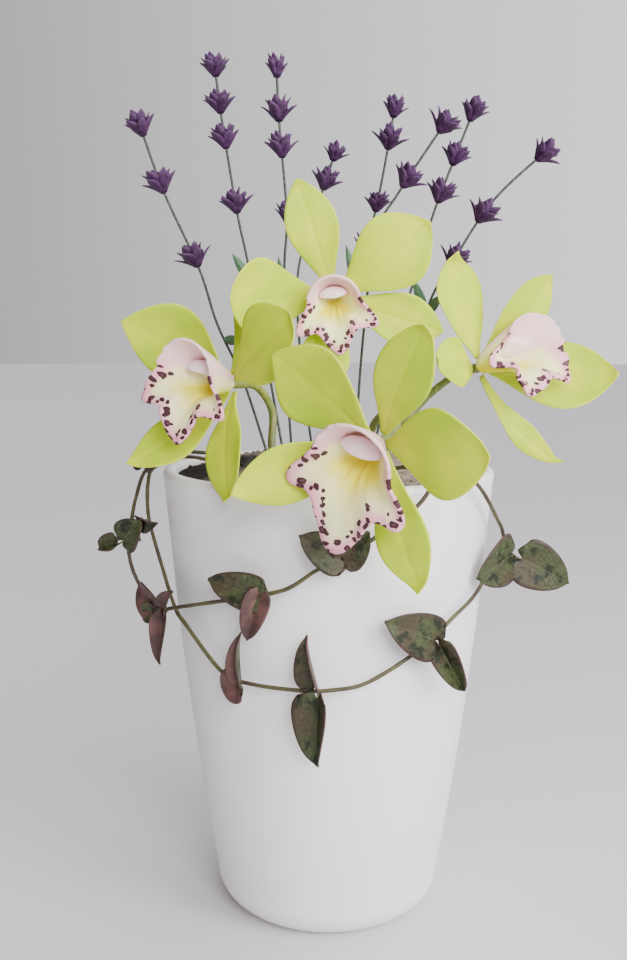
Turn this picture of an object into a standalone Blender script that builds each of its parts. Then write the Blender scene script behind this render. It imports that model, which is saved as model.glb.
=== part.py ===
"""A potted orchid: a tapered white pot filled with potting mix, four orchid blooms on arching stems,
eight lavender sprigs behind them, and two vine garlands with pairs of leaves that hang over the rim.

Metres, +Z up. The origin is the centre of the pot's underside, and -Y is the front.
"""

import math
from collections import namedtuple

import bmesh
import bpy
from mathutils import Matrix, Vector

MM = 0.001
FIT_GAP = 0.3 * MM  # clearance between pieces that touch

# The pot
POT_HEIGHT = 180 * MM
RIM_RADIUS = 65.5 * MM
BASE_RADIUS = 43.5 * MM
BELLY = 2.3 * MM  # how far the wall bows out from a straight taper, halfway up
WALL = 5 * MM
FLOOR = 8 * MM
FOOT_FILLET = 14 * MM
POT_SIDES = 40
WALL_LEVELS = (0.15, 0.35, 0.55, 0.75, 0.9)  # shares of the height where the wall has a ring of points

# The potting mix
MIX_EDGE_DROP = 3 * MM  # from the rim down to the mix at the wall
MIX_CROWN = 9 * MM  # how far the middle stands above the edge
MIX_LEVELS = (0.86, 0.66, 0.45, 0.22, 0)  # shares of the radius where its top has a ring of points
COLLAR_RISE = 1.5 * MM  # a stem stays upright to this height above the mix
HOLLOW_ANGLE = -80  # degrees round the pot from the front, + to the right
HOLLOW_INSET = 15 * MM  # from the pot's outer wall in to the hollow's middle
HOLLOW_RADIUS = 18 * MM
HOLLOW_DEPTH = 7 * MM
STEM_DEPTH = 25 * MM  # how deep each stem is planted
SOCKET_SIDES = 8

# The planting is laid out from a point this far behind the front of the rim
PLANT_SETBACK = 65.5 * MM

# Orchid blooms
TEPAL_THICKNESS = 1.2 * MM
TEPAL_ROOT_RADIUS = 3.5 * MM  # from the bloom's axis to where each tepal starts
TEPAL_ROOT_WIDTH = 3.0 * MM
PETAL_STEP = 1.6 * MM  # petals start this far in front of the sepals
PETAL_WIDTH = 27.5 * MM
SEPAL_WIDTH = 18.5 * MM
LIP_WALL = 1.1 * MM
LIP_START = 2.9 * MM  # along the bloom's axis, in front of the sepals
LIP_ROOT_RADIUS = 2.4 * MM
LIP_MOUTH_RADIUS = 12 * MM
SIDE_LOBE = 11 * MM  # how far each side lobe of a full-size lip stands out past the mouth
LIP_SIDES = 18
COLUMN_ROOT = 2.4 * MM  # across the column where it starts
COLUMN_WIDTH = 15 * MM
COLUMN_HEIGHT = 8.5 * MM
COLUMN_LIFT = 0.26  # how far the column rises off the axis at its mouth, as a share of its height
COLUMN_REACH = 0.63  # how far along the lip the column reaches, as a share of the lip's depth
ORCHID_STEM_RADIUS = 1.45 * MM
OVARY_RADIUS = 1.9 * MM
OVARY_LENGTH = 11 * MM

# Lavender sprigs
SPRIG_RADIUS = 0.55 * MM
SPRIG_LEAF_STALK = 0.8 * MM
SPRIG_LEAF_WIDTH = 4.4 * MM
SPRIG_LEAF_BEND = 2 * MM  # how far the tip bends forward
SPRIG_LEAF_THICKNESS = 0.8 * MM

# Vines
VINE_RADIUS = 0.75 * MM
VINE_LEAF_THICKNESS = 0.8 * MM
PETIOLE_WIDTH = 1.5 * MM
PETIOLE_SHARE = 0.28  # of a leaf's length, from its node
VINE_LEAF_LIFT = 1.5 * MM  # how far a tip stands out from its pair's plane

Bloom = namedtuple("Bloom", "place yaw pitch roll lip stem tepals")
Lip = namedtuple("Lip", "scale depth middle_lobe turn lean")
Tepal = namedtuple("Tepal", "azimuth reach forward width arch sweep twist cup")
Sprig = namedtuple("Sprig", "route whorls")
SprigLeaf = namedtuple("SprigLeaf", "sprig height tips")
LeafPair = namedtuple("LeafPair", "node facings tips widths")


def petal(azimuth, reach, forward, width=PETAL_WIDTH, arch=3, sweep=0, twist=0, cup=0.10):
    """A tepal by its tip: degrees round the axis, millimetres out from it and forward along it."""
    return Tepal(azimuth, reach, forward, width, arch, sweep, twist, cup)


def sepal(azimuth, reach, forward, width=SEPAL_WIDTH, arch=3, sweep=0, twist=0, cup=0.10):
    return Tepal(azimuth, reach, forward, width, arch, sweep, twist, cup)


# Places are millimetres right of the middle, in front (-) or behind it, and above the rim.
BLOOMS = {
    "left_bloom": Bloom(
        place=(-34, -42, 35), yaw=-45, pitch=8, roll=-8,
        lip=Lip(0.86, 21, 15, (16, 4), (-9, 1)),
        stem=((-20, -33), (-21, -31, 12), (-21, -27, 24)),
        tepals={
            "dorsal_sepal": sepal(110, 47, -13, width=14 * MM, arch=-3, twist=45),
            "right_petal": petal(37, 45, 8),
            "left_petal": petal(161, 42, 24, arch=-8),
            "left_sepal": sepal(-120, 42, 24, arch=-4),
            "right_sepal": sepal(-61, 45, 10),
        },
    ),
    "top_bloom": Bloom(
        place=(2, -20, 66), yaw=6, pitch=-4, roll=8,
        lip=Lip(0.72, 19, 13, (-8, 0), (0, 0)),
        stem=((2, -10), (2, -7, 22), (1, -5, 46)),
        tepals={
            "dorsal_sepal": sepal(101, 45, 6),
            "right_petal": petal(31, 44, 8),
            "left_petal": petal(171, 40, 30, arch=-6),
            "left_sepal": sepal(-108, 36, 4),
            "right_sepal": sepal(-25, 43, 4),
        },
    ),
    "front_bloom": Bloom(
        place=(16.5, -88, 19), yaw=-29, pitch=-12, roll=-20,
        lip=Lip(1, 19, 20, (0, 0), (0, 0)),
        stem=((14, -26), (17, -34, 20), (23, -56, 27)),
        tepals={
            "dorsal_sepal": sepal(80, 47, 8),
            "right_petal": petal(24, 44, 15),
            "left_petal": petal(160, 45, 2, arch=-1),
            "left_sepal": sepal(-145, 42, 28, arch=0),
            "right_sepal": sepal(-49, 48, 13),
        },
    ),
    "right_bloom": Bloom(
        place=(58, -5, 39), yaw=44, pitch=16, roll=-20,
        lip=Lip(0.86, 20, 12, (-20, 8), (17, 8)),
        stem=((24, -8), (25, -6, 10), (38, 1, 26)),
        tepals={
            "dorsal_sepal": sepal(67, 43, 22, arch=3),
            "left_petal": petal(118, 45, 4, arch=-2),
            "right_petal": petal(2, 42, 36, arch=-4),
            "left_sepal": sepal(-163, 33, 6),
            "right_sepal": sepal(-44, 48, 14, width=13 * MM, arch=0, sweep=-5, twist=50),
        },
    ),
}

# Each route starts where the stem is planted. A whorl is its middle's height above the rim, its radius
# and its length along the stem.
SPRIGS = {
    "lavender_sprig_1": Sprig(
        route=((-24, -8), (-34, 2, 34), (-45, 12, 56), (-52, 12, 78), (-66, 12, 109), (-76, 12, 138)),
        whorls=((83, 5.0, 9), (112, 5.0, 9), (134, 4.6, 9)),
    ),
    "lavender_sprig_2": Sprig(
        route=((-18, -4), (-26, 14, 46), (-34, 30, 83), (-38, 30, 102), (-44, 30, 140), (-47, 30, 164)),
        whorls=((106, 5.0, 9), (132, 4.6, 9), (146, 5.0, 9), (160, 4.4, 8)),
    ),
    "lavender_sprig_3": Sprig(
        route=((-15, 9), (-18, 16, 48), (-18, 20, 80), (-17, 20, 100), (-20, 20, 138), (-21, 20, 163)),
        whorls=((101, 3.2, 8), (127, 4.8, 9), (141, 4.8, 9), (158, 3.0, 9)),
    ),
    "lavender_sprig_4": Sprig(
        route=((-7, 20), (-12, 34, 44), (-13, 45, 79), (-4, 45, 108), (0, 45, 120), (4, 45, 131)),
        whorls=((117, 4.8, 9), (128, 3.6, 7)),
    ),
    "lavender_sprig_5": Sprig(
        route=((5, 24), (8, 32, 44), (14, 40, 82), (20, 40, 104), (25, 40, 130), (28, 40, 149)),
        whorls=((90, 4.2, 8), (107, 4.0, 8), (133, 4.8, 9), (145.5, 3.8, 8)),
    ),
    "lavender_sprig_6": Sprig(
        route=((11, 8), (14, 12, 50), (19, 15, 91), (28, 15, 108), (40, 15, 126), (49, 15, 139)),
        whorls=((114, 5.0, 9), (135, 5.0, 9)),
    ),
    "lavender_sprig_7": Sprig(
        route=((19, 14), (27, 24, 40), (35, 30, 72), (43, 30, 100), (52, 30, 124), (61, 30, 147)),
        whorls=((110, 4.8, 9), (125, 4.6, 9), (142.5, 4.4, 9)),
    ),
    "lavender_sprig_8": Sprig(
        route=((29, 6), (34, 14, 36), (41, 18, 64), (51, 18, 82), (67, 18, 106), (91, 18, 128)),
        whorls=((83, 4.8, 9), (100.5, 5.0, 9), (124, 4.8, 9)),
    ),
}

# A leaf by the height where it leaves its sprig, and its tip right of and above that point.
SPRIG_LEAVES = {
    "sprig_1_leaf": SprigLeaf("lavender_sprig_1", 50, ((8, -1),)),
    "sprig_2_leaf": SprigLeaf("lavender_sprig_2", 73, ((-8, 12),)),
    "sprig_3_leaf": SprigLeaf("lavender_sprig_3", 66, ((-2, 17),)),
    "sprig_5_leaf": SprigLeaf("lavender_sprig_5", 72, ((-5, 17),)),
    "sprig_8_leaves": SprigLeaf("lavender_sprig_8", 60, ((-6, 15), (6, 8))),
}

# Each point is degrees round the pot from the front, millimetres below the rim, and out from the wall.
VINES = {
    "long_vine": (
        (-86, -2, -20), (-87, -3.5, -12), (-88, -3, -4), (-87, 1, 4.5), (-82, 6, 6.5), (-80, 14, 7.5),
        (-80, 22, 7.3), (-72, 38, 5), (-61, 50.5, 5), (-54, 55, 5), (-37, 69, 5), (-26, 71.5, 5),
        (-9, 72, 5), (2, 71.5, 5), (13, 69, 5), (30, 59, 5), (44, 49, 5), (55, 43, 5), (72, 34, 5),
        (80, 30, 7), (76, 23, 6), (68, 17, 5), (53, 4, 5), (46, -3, 3), (42, -5, -4), (40, -4, -12),
    ),
    "short_vine": (
        (-104, -3, -18), (-101, -4, -10), (-97, -4, -2), (-92, 2, 8), (-85, 12, 12), (-80, 21, 14.6),
        (-79, 30, 16.7), (-79, 40, 16), (-79, 51, 12), (-74, 55, 9), (-57, 49, 8.5), (-42, 44, 6),
        (-29, 40, 5), (-13, 35, 5), (-4, 28, 5), (2, 24, 5), (10.5, 18.5, 5), (25, 7, 5),
        (31, -2, 4), (30, -6, -5), (27, -5, -14),
    ),
}

# A pair's node on its vine, the way each leaf faces (degrees round from the front), and in millimetres
# its leaf tips, right of and below the node, and its leaves' widths.
LEAF_PAIRS = {
    "leaf_pair_mouth": LeafPair((-88, -1, 5), (-50, -50), ((12, -1), (-9, -1)), (8, 6)),
    "leaf_pair_shoulder": LeafPair((-80, 20, 7.6), (-60, -60), ((15, -1), (-4, 9)), (8, 6)),
    "leaf_pair_loop": LeafPair((-79, 28, 16.7), (-30, -30), ((-12, 4), (10, -9)), (8, 9)),
    "leaf_pair_crossing": LeafPair((-66, 52, 9), (-50, -45), ((-12, -9), (-9, 4)), (10, 7)),
    "leaf_pair_hanging": LeafPair((-58, 50, 8.6), (-55, -55), ((-5, 22), (7, -9)), (8, 8)),
    "leaf_pair_left": LeafPair((-20, 37, 5), (-22, -22), ((-17, -6), (1, 16)), (14, 10)),
    "leaf_pair_low_left": LeafPair((-28, 71, 5), (-30, -30), ((0, -19), (-9, 3)), (6, 10)),
    "leaf_pair_bottom": LeafPair((-3, 72, 5), (-3, -3), ((-4, -21), (0, 27)), (10, 12)),
    "leaf_pair_low_right": LeafPair((35, 56, 5), (30, 30), ((-22, -10), (13, 21)), (14, 12)),
    "leaf_pair_right": LeafPair((76, 32, 9), (50, 12), ((-25, 5), (22, 9)), (17, 17)),
    "leaf_pair_high": LeafPair((4, 22.5, 5), (4, 4), ((-19, -3), (9, -7)), (12, 10)),
}

COLOURS = {
    "pot_glaze": ((0.86, 0.85, 0.83), 0.45),
    "potting_mix": ((0.20, 0.16, 0.14), 0.9),
    "green_tepal": ((0.55, 0.68, 0.16), 0.55),
    "pink_lip": ((0.90, 0.74, 0.76), 0.55),
    "pink_column": ((0.84, 0.62, 0.66), 0.5),
    "orchid_stem": ((0.18, 0.26, 0.07), 0.6),
    "lavender": ((0.16, 0.09, 0.20), 0.8),
    "lavender_leaf": ((0.09, 0.22, 0.14), 0.6),
    "vine": ((0.20, 0.16, 0.09), 0.7),
    "vine_leaf": ((0.22, 0.25, 0.15), 0.6),
}


def clear_scene():
    for obj in list(bpy.data.objects):
        bpy.data.objects.remove(obj)


def make_material(name, colour, roughness):
    material = bpy.data.materials.new(name)
    material.use_nodes = True
    shader = material.node_tree.nodes["Principled BSDF"]
    shader.inputs["Base Color"].default_value = (*colour, 1)
    shader.inputs["Roughness"].default_value = roughness
    shader.inputs["Metallic"].default_value = 0
    material.diffuse_color = (*colour, 1)
    return material


def add_object(name, data, colour):
    """Links one node and gives it its own material."""
    obj = bpy.data.objects.new(name, data)
    data.materials.append(make_material(f"{name}_{colour}", *COLOURS[colour]))
    bpy.context.scene.collection.objects.link(obj)
    return obj


def mesh_object(name, bm, colour, sharp_angle=40):
    mesh = bpy.data.meshes.new(name)
    bmesh.ops.recalc_face_normals(bm, faces=bm.faces)
    bm.to_mesh(mesh)
    bm.free()
    mesh.shade_smooth()
    mesh.set_sharp_from_angle(angle=math.radians(sharp_angle))
    return add_object(name, mesh, colour)


def solidify(obj, thickness):
    """Gives a sheet its thickness, half on each side."""
    modifier = obj.modifiers.new("Thickness", "SOLIDIFY")
    modifier.thickness = thickness
    modifier.offset = 0


def smooth_route(points, steps=6):
    """Points read from a smooth curve that passes through the given ones."""
    ends = [2 * points[0] - points[1], *points, 2 * points[-1] - points[-2]]
    route = [points[0]]
    for before, start, end, after in zip(ends, ends[1:], ends[2:], ends[3:]):
        for step in range(1, steps + 1):
            t = step / steps
            route.append(
                start
                + 0.5 * t * (end - before)
                + t * t * (before - 2.5 * start + 2 * end - 0.5 * after)
                + 0.5 * t ** 3 * (after - before + 3 * (start - end))
            )
    return route


def tube(name, points, radii, colour, sides_setting=2):
    """A round rod along the points, closed at both ends."""
    curve = bpy.data.curves.new(name, "CURVE")
    curve.dimensions = "3D"
    curve.bevel_depth = 1.0
    curve.bevel_resolution = sides_setting
    curve.use_fill_caps = True
    spline = curve.splines.new("POLY")
    spline.points.add(len(points) - 1)
    for spot, point, radius in zip(spline.points, points, radii):
        spot.co = (*point, 1)
        spot.radius = radius
    return add_object(name, curve, colour)


def spun(profile, sides):
    """A closed shape turned about Z from a profile that starts and ends on the axis."""
    bm = bmesh.new()
    verts = [bm.verts.new((radius, 0, height)) for radius, height in profile]
    edges = [bm.edges.new(pair) for pair in zip(verts, verts[1:])]
    bmesh.ops.spin(
        bm, geom=verts + edges, cent=(0, 0, 0), axis=(0, 0, 1), angle=2 * math.pi,
        steps=sides, use_merge=True,
    )
    bmesh.ops.remove_doubles(bm, verts=bm.verts, dist=0.001 * MM)
    return bm


def pot_radius(height):
    """The outer wall's radius at a height, which stays at the rim's radius above the rim."""
    share = min(max(height / POT_HEIGHT, 0), 1)
    return BASE_RADIUS + (RIM_RADIUS - BASE_RADIUS) * share + BELLY * math.sin(math.pi * share)


def on_pot(angle, below_rim, standoff):
    """A point by its angle from the front, its drop below the rim and its distance from the wall."""
    height = POT_HEIGHT - below_rim
    radius = pot_radius(height) + standoff
    turn = math.radians(angle)
    return Vector((radius * math.sin(turn), -radius * math.cos(turn), height))


def arc(centre, radius, start, end, steps):
    """Points along an arc in the profile's plane, from one angle in degrees to another."""
    turns = [math.radians(start + (end - start) * step / steps) for step in range(steps + 1)]
    return [(centre[0] + radius * math.cos(turn), centre[1] + radius * math.sin(turn)) for turn in turns]


def inner_profile(inset):
    """The pot's inner floor corner and wall, moved in by an inset, from the floor up."""
    corner = FOOT_FILLET - WALL / 2
    corner_height = FLOOR + corner
    corner_middle = (pot_radius(corner_height) - WALL - corner, corner_height)
    points = arc(corner_middle, corner - inset, -90, 0, 4)
    for share in WALL_LEVELS:
        height = share * POT_HEIGHT
        if height > corner_height:
            points.append((pot_radius(height) - WALL - inset, height))
    return points


def make_pot():
    foot_centre = (pot_radius(FOOT_FILLET) - FOOT_FILLET, FOOT_FILLET)
    outer = [(0, 0), *arc(foot_centre, FOOT_FILLET, -90, 0, 5)]
    outer += [(pot_radius(share * POT_HEIGHT), share * POT_HEIGHT) for share in WALL_LEVELS]
    rim_centre = (RIM_RADIUS - WALL / 2, POT_HEIGHT - WALL / 2)
    rim = arc(rim_centre, WALL / 2, 0, 180, 4)
    inner = [*reversed(inner_profile(0)), (0, FLOOR)]
    mesh_object("pot", spun(outer + rim + inner, POT_SIDES), "pot_glaze")


def mix_height(radius):
    """The height of the mix's crowned surface, before the hollow."""
    edge_radius = RIM_RADIUS - WALL - FIT_GAP
    share = min(radius / edge_radius, 1)
    return POT_HEIGHT - MIX_EDGE_DROP + MIX_CROWN * (1 - share * share)


def make_potting_mix(stems):
    """The mix fills the pot, with a hollow at the left of the mouth and a socket for each stem."""
    edge_height = POT_HEIGHT - MIX_EDGE_DROP
    edge_radius = pot_radius(edge_height) - WALL - FIT_GAP
    profile = [(0, FLOOR + FIT_GAP), *inner_profile(FIT_GAP), (edge_radius, edge_height)]
    for share in MIX_LEVELS:
        profile.append((edge_radius * share, mix_height(edge_radius * share)))
    bm = spun(profile, POT_SIDES)
    hollow = on_pot(HOLLOW_ANGLE, 0, -HOLLOW_INSET)
    for vert in bm.verts:
        if vert.co.z > edge_height - 0.01 * MM:
            distance = (vert.co.xy - hollow.xy).length / HOLLOW_RADIUS
            vert.co.z -= HOLLOW_DEPTH * max(0, 1 - distance * distance)
            reach = pot_radius(vert.co.z) - WALL - FIT_GAP
            if vert.co.xy.length > reach:
                vert.co.xy *= reach / vert.co.xy.length
    mix = mesh_object("potting_mix", bm, "potting_mix")
    cut_sockets(mix, stems)


def cut_sockets(mix, stems):
    """One cutter holds every socket: an upright hole with the fit's clearance round each stem."""
    bm = bmesh.new()
    top = POT_HEIGHT + MIX_CROWN + STEM_DEPTH
    bottom = POT_HEIGHT - STEM_DEPTH - FIT_GAP
    for place, radius in stems:
        corner = (radius + FIT_GAP) / math.cos(math.pi / SOCKET_SIDES)
        hole = bmesh.ops.create_cone(
            bm, cap_ends=True, segments=SOCKET_SIDES, radius1=corner, radius2=corner, depth=top - bottom,
        )
        bmesh.ops.translate(bm, verts=hole["verts"], vec=(place[0], place[1], (top + bottom) / 2))
    bmesh.ops.recalc_face_normals(bm, faces=bm.faces)
    mesh = bpy.data.meshes.new("stem_sockets")
    bm.to_mesh(mesh)
    bm.free()
    cutter = bpy.data.objects.new("stem_sockets", mesh)
    cutter.hide_render = True
    cutter.display_type = "WIRE"
    bpy.context.scene.collection.objects.link(cutter)
    modifier = mix.modifiers.new("Stem sockets", "BOOLEAN")
    modifier.operation = "DIFFERENCE"
    modifier.solver = "EXACT"
    modifier.object = cutter


def planted(place):
    """A place in the planting, in millimetres, as a point: right, behind and above the rim."""
    x, y, above = place
    return Vector((x * MM, y * MM - RIM_RADIUS + PLANT_SETBACK, POT_HEIGHT + above * MM))


def planted_route(root, waypoints, steps):
    """A stem's points: straight up out of the mix from its root, then in a curve through the waypoints."""
    collar = planted((*root, 0))
    collar.z = mix_height(collar.xy.length) + COLLAR_RISE
    bottom = Vector((collar.x, collar.y, POT_HEIGHT - STEM_DEPTH))
    return [bottom, *smooth_route([collar, *waypoints], steps)]


def bloom_frame(bloom):
    """X is the bloom's right, Y its top and Z the way it faces."""
    turn = (
        Matrix.Rotation(math.radians(bloom.yaw), 4, "Z")
        @ Matrix.Rotation(math.radians(90 - bloom.pitch), 4, "X")
        @ Matrix.Rotation(math.radians(bloom.roll), 4, "Z")
    )
    return Matrix.Translation(planted(bloom.place)) @ turn


def tepal_width(share, width):
    """The full width along a tepal: a narrow root, broadest past the middle, a blunt pointed tip."""
    body = math.sin(math.pi * share ** 1.35) ** 0.95 if 0 < share < 1 else 0
    root = TEPAL_ROOT_WIDTH * (1 - share)
    return root + (width - root) * body + 0.06 * width * share


def tepal_point(tepal, start, share, across):
    """A point of the tepal's sheet in its bloom's frame, across from -1 to 1."""
    base = Vector((TEPAL_ROOT_RADIUS, 0, start))
    tip = Vector((tepal.reach * MM, 0, tepal.forward * MM))
    chord = (tip - base).normalized()
    front = Vector((-chord.z, 0, chord.x))
    side = Vector((0, 1, 0))
    bow = 4 * share * (1 - share)
    spine = base.lerp(tip, share) + bow * MM * (tepal.arch * front + tepal.sweep * side)
    turn = Matrix.Rotation(math.radians(tepal.twist) * share, 4, chord)
    half = tepal_width(share, tepal.width) / 2
    offset = half * across * side + tepal.cup * half * across * across * front
    return Matrix.Rotation(math.radians(tepal.azimuth), 4, "Z") @ (spine + turn @ offset)


def make_tepal(name, frame, tepal, start):
    bm = bmesh.new()
    bmesh.ops.create_grid(bm, x_segments=6, y_segments=4, size=1)
    for vert in bm.verts:
        share, across = (vert.co.x + 1) / 2, vert.co.y
        vert.co = frame @ tepal_point(tepal, start, share, across)
    solidify(mesh_object(name, bm, "green_tepal"), TEPAL_THICKNESS)


def lobe_reach(angle, middle_length):
    """How far the lip's edge stands out past its throat, by the angle from straight down."""
    side_lobe = SIDE_LOBE * math.exp(-((abs(angle) - 54) / 16) ** 2)
    middle_lobe = middle_length * math.exp(-(angle / 26) ** 2)
    return side_lobe + middle_lobe + 1.5 * MM * (1 - math.cos(math.radians(180 - abs(angle))))


def lip_frame(frame, lip):
    """The bloom's frame turned right and up about the lip's root."""
    right, up = lip.turn
    root = Matrix.Translation((0, 0, LIP_START * lip.scale))
    turn = Matrix.Rotation(math.radians(right), 4, "Y") @ Matrix.Rotation(math.radians(-up), 4, "X")
    return frame @ root @ turn @ root.inverted()


def leaned(point, lip):
    """The point moved sideways as the lip leans, more towards its mouth, and brought to the lip's size."""
    share = max(point.z - LIP_START, 0) / (lip.depth * MM)
    lean = Vector((*lip.lean, 0)) * MM * share ** 1.5
    return point * lip.scale + lean


def make_lip(name, frame, lip):
    """A trumpet that is closed at its root and flares into two side lobes and a longer middle one."""
    bm = bmesh.new()
    profile = [(0, LIP_START)]
    for share in (0, 0.3, 0.6, 0.85, 1):
        radius = LIP_ROOT_RADIUS + (LIP_MOUTH_RADIUS - LIP_ROOT_RADIUS) * share ** 0.85
        profile.append((radius, LIP_START + lip.depth * MM * share))
    verts = [bm.verts.new((radius, 0, forward)) for radius, forward in profile]
    edges = [bm.edges.new(pair) for pair in zip(verts, verts[1:])]
    bmesh.ops.spin(
        bm, geom=verts + edges, cent=(0, 0, 0), axis=(0, 0, 1), angle=2 * math.pi,
        steps=LIP_SIDES, use_merge=True,
    )
    bmesh.ops.remove_doubles(bm, verts=bm.verts, dist=0.001 * MM)
    for vert in bm.verts:
        share = (vert.co.z - LIP_START) / (lip.depth * MM)
        angle = (math.degrees(math.atan2(vert.co.x, -vert.co.y)) + 180) % 360 - 180
        flare = lobe_reach(angle, lip.middle_lobe * MM) * share ** 4
        vert.co.xy += vert.co.xy.normalized() * flare
        vert.co.z -= 0.2 * flare * share
        vert.co = frame @ leaned(vert.co, lip)
    solidify(mesh_object(name, bm, "pink_lip"), LIP_WALL)


def make_column(name, frame, lip):
    """A hood that widens and arches forward inside the top of the lip."""
    rings = []
    bm = bmesh.new()
    root = LIP_START + LIP_WALL / 2 / lip.scale + 3 * FIT_GAP
    for share in (0, 0.35, 0.75, 1):
        width = COLUMN_ROOT + (COLUMN_WIDTH - COLUMN_ROOT) * share
        height = COLUMN_ROOT + (COLUMN_HEIGHT - COLUMN_ROOT) * share ** 0.8
        ring = bmesh.ops.create_circle(bm, segments=10, radius=0.5)["verts"]
        bmesh.ops.scale(bm, verts=ring, vec=(width, height, 1))
        lift = COLUMN_LIFT * COLUMN_HEIGHT * share
        bmesh.ops.translate(bm, verts=ring, vec=(0, lift, root + COLUMN_REACH * lip.depth * MM * share))
        rings.append(ring)
    for lower, upper in zip(rings, rings[1:]):
        for index in range(len(lower)):
            following = (index + 1) % len(lower)
            bm.faces.new((lower[index], lower[following], upper[following], upper[index]))
    bm.faces.new(reversed(rings[0]))
    bm.faces.new(rings[-1])
    for vert in bm.verts:
        vert.co = frame @ leaned(vert.co, lip)
    mesh_object(name, bm, "pink_column")


def make_bloom(name, bloom):
    """Five tepals round a lip and a column, on a stem that swells into the ovary behind them."""
    frame = bloom_frame(bloom)
    for part, tepal in bloom.tepals.items():
        make_tepal(f"{name}_{part}", frame, tepal, PETAL_STEP if part.endswith("petal") else 0)
    turned = lip_frame(frame, bloom.lip)
    make_lip(f"{name}_lip", turned, bloom.lip)
    make_column(f"{name}_column", turned, bloom.lip)
    root, *waypoints = bloom.stem
    tip = frame @ Vector((0, 0, LIP_START * bloom.lip.scale - LIP_WALL / 2 - 3 * FIT_GAP))
    back = frame @ Vector((0, 0, -OVARY_LENGTH))
    route = planted_route(root, [*(planted(point) for point in waypoints), back, tip], 3)
    swell = [min((point - tip).length / OVARY_LENGTH, 1) for point in route]
    radii = [ORCHID_STEM_RADIUS + (OVARY_RADIUS - ORCHID_STEM_RADIUS) * (1 - far) for far in swell]
    tube(f"{name}_stem", route, radii, "orchid_stem")


def sprig_route(sprig):
    root, *waypoints = sprig.route
    return planted_route(root, [planted(point) for point in waypoints], 3)


def point_at(route, height):
    """The point of a rising route at a height above the rim, in millimetres, and the way it runs there."""
    level = POT_HEIGHT + height * MM
    for lower, upper in zip(route, route[1:]):
        if upper.z >= level:
            return lower.lerp(upper, (level - lower.z) / (upper.z - lower.z)), (upper - lower).normalized()
    return route[-1], (route[-1] - route[-2]).normalized()


def make_sprig(name, sprig):
    """A thin stem that swells into a cup of petals at each whorl."""
    route = sprig_route(sprig)
    stations = [(point, SPRIG_RADIUS) for point in route]
    for height, radius, length in sprig.whorls:
        middle, way = point_at(route, height)
        reach = length * MM / 2
        stations = [spot for spot in stations if (spot[0] - middle).length > reach]
        for share, spread in ((-1, 0), (-0.7, 0.4), (0.1, 0.85), (0.8, 1), (1, 0)):
            size = SPRIG_RADIUS + (radius * MM - SPRIG_RADIUS) * spread
            stations.append((middle + way * reach * share, size))
    stations.sort(key=lambda spot: spot[0].z)
    points, radii = zip(*stations)
    tube(name, points, radii, "lavender", 1)


def make_sprig_leaf(name, leaf):
    """One narrow leaf, or two, that leave a sprig at the same height."""
    start = point_at(sprig_route(SPRIGS[leaf.sprig]), leaf.height)[0]
    bm = bmesh.new()
    bmesh.ops.create_grid(bm, x_segments=4 * len(leaf.tips), y_segments=2, size=1)
    gap = SPRIG_RADIUS + 4 * FIT_GAP + SPRIG_LEAF_THICKNESS / 2
    front = Vector((0, -1, 0))
    for vert in bm.verts:
        along, across = vert.co.x, vert.co.y
        if len(leaf.tips) == 1:
            along = (along + 1) / 2
        tip = leaf.tips[0] if along >= 0 else leaf.tips[1]
        reach = Vector((tip[0] * MM, 0, tip[1] * MM))
        side = Vector((-reach.z, 0, reach.x)).normalized() * (1 if along >= 0 else -1)
        share = abs(along)
        body = math.sin(math.pi * min(share, 0.97) ** 0.8)
        width = SPRIG_LEAF_STALK + (SPRIG_LEAF_WIDTH - SPRIG_LEAF_STALK) * body
        forward = gap + SPRIG_LEAF_BEND * share ** 2
        vert.co = start + reach * share + side * across * width / 2 + front * forward
    solidify(mesh_object(name, bm, "lavender_leaf"), SPRIG_LEAF_THICKNESS)


def vine_points(route):
    """A garland's points: each end stands straight up out of the mix, and the rest hangs on the pot."""
    placed = smooth_route([on_pot(angle, drop * MM, out * MM) for angle, drop, out in route], 3)
    first, last = placed[0].copy(), placed[-1].copy()
    first.z = last.z = POT_HEIGHT - STEM_DEPTH
    return [first, *placed, last]


def make_vine(name, route):
    points = vine_points(route)
    tube(name, points, [VINE_RADIUS] * len(points), "vine", 1)


def leaf_width(share, width):
    """The full width along a vine leaf: a thin stalk, then a heart that tapers to its tip."""
    if share < PETIOLE_SHARE:
        return PETIOLE_WIDTH
    blade = (share - PETIOLE_SHARE) / (1 - PETIOLE_SHARE)
    return PETIOLE_WIDTH * (1 - blade) + width * MM * math.sin(math.pi * min(blade ** 0.6, 0.985))


def make_leaf_pair(name, pair):
    """Two leaves on one ribbon that passes outside the vine at their node."""
    angle, drop, out = pair.node
    clear = out * MM + VINE_RADIUS + 2 * FIT_GAP + VINE_LEAF_THICKNESS / 2
    node = on_pot(angle, drop * MM, clear)
    turns = [math.radians(facing) for facing in pair.facings]
    rightwards = [Vector((math.cos(turn), math.sin(turn), 0)) for turn in turns]
    outwards = [Vector((math.sin(turn), -math.cos(turn), 0)) for turn in turns]
    bm = bmesh.new()
    bmesh.ops.create_grid(bm, x_segments=12, y_segments=2, size=1)
    for vert in bm.verts:
        along, across = vert.co.x, vert.co.y
        second = along > 0
        reach = Vector(pair.tips[second]) * MM
        width = leaf_width(abs(along), pair.widths[second])
        edgeward = Vector((-reach.y, reach.x)).normalized() * (1 if second else -1)
        flat = reach * abs(along) + edgeward * across * width / 2
        lift = VINE_LEAF_LIFT * abs(along) + 0.12 * width * across * across
        vert.co = node + rightwards[second] * flat.x - Vector((0, 0, flat.y)) + outwards[second] * lift
    solidify(mesh_object(name, bm, "vine_leaf"), VINE_LEAF_THICKNESS)


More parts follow.
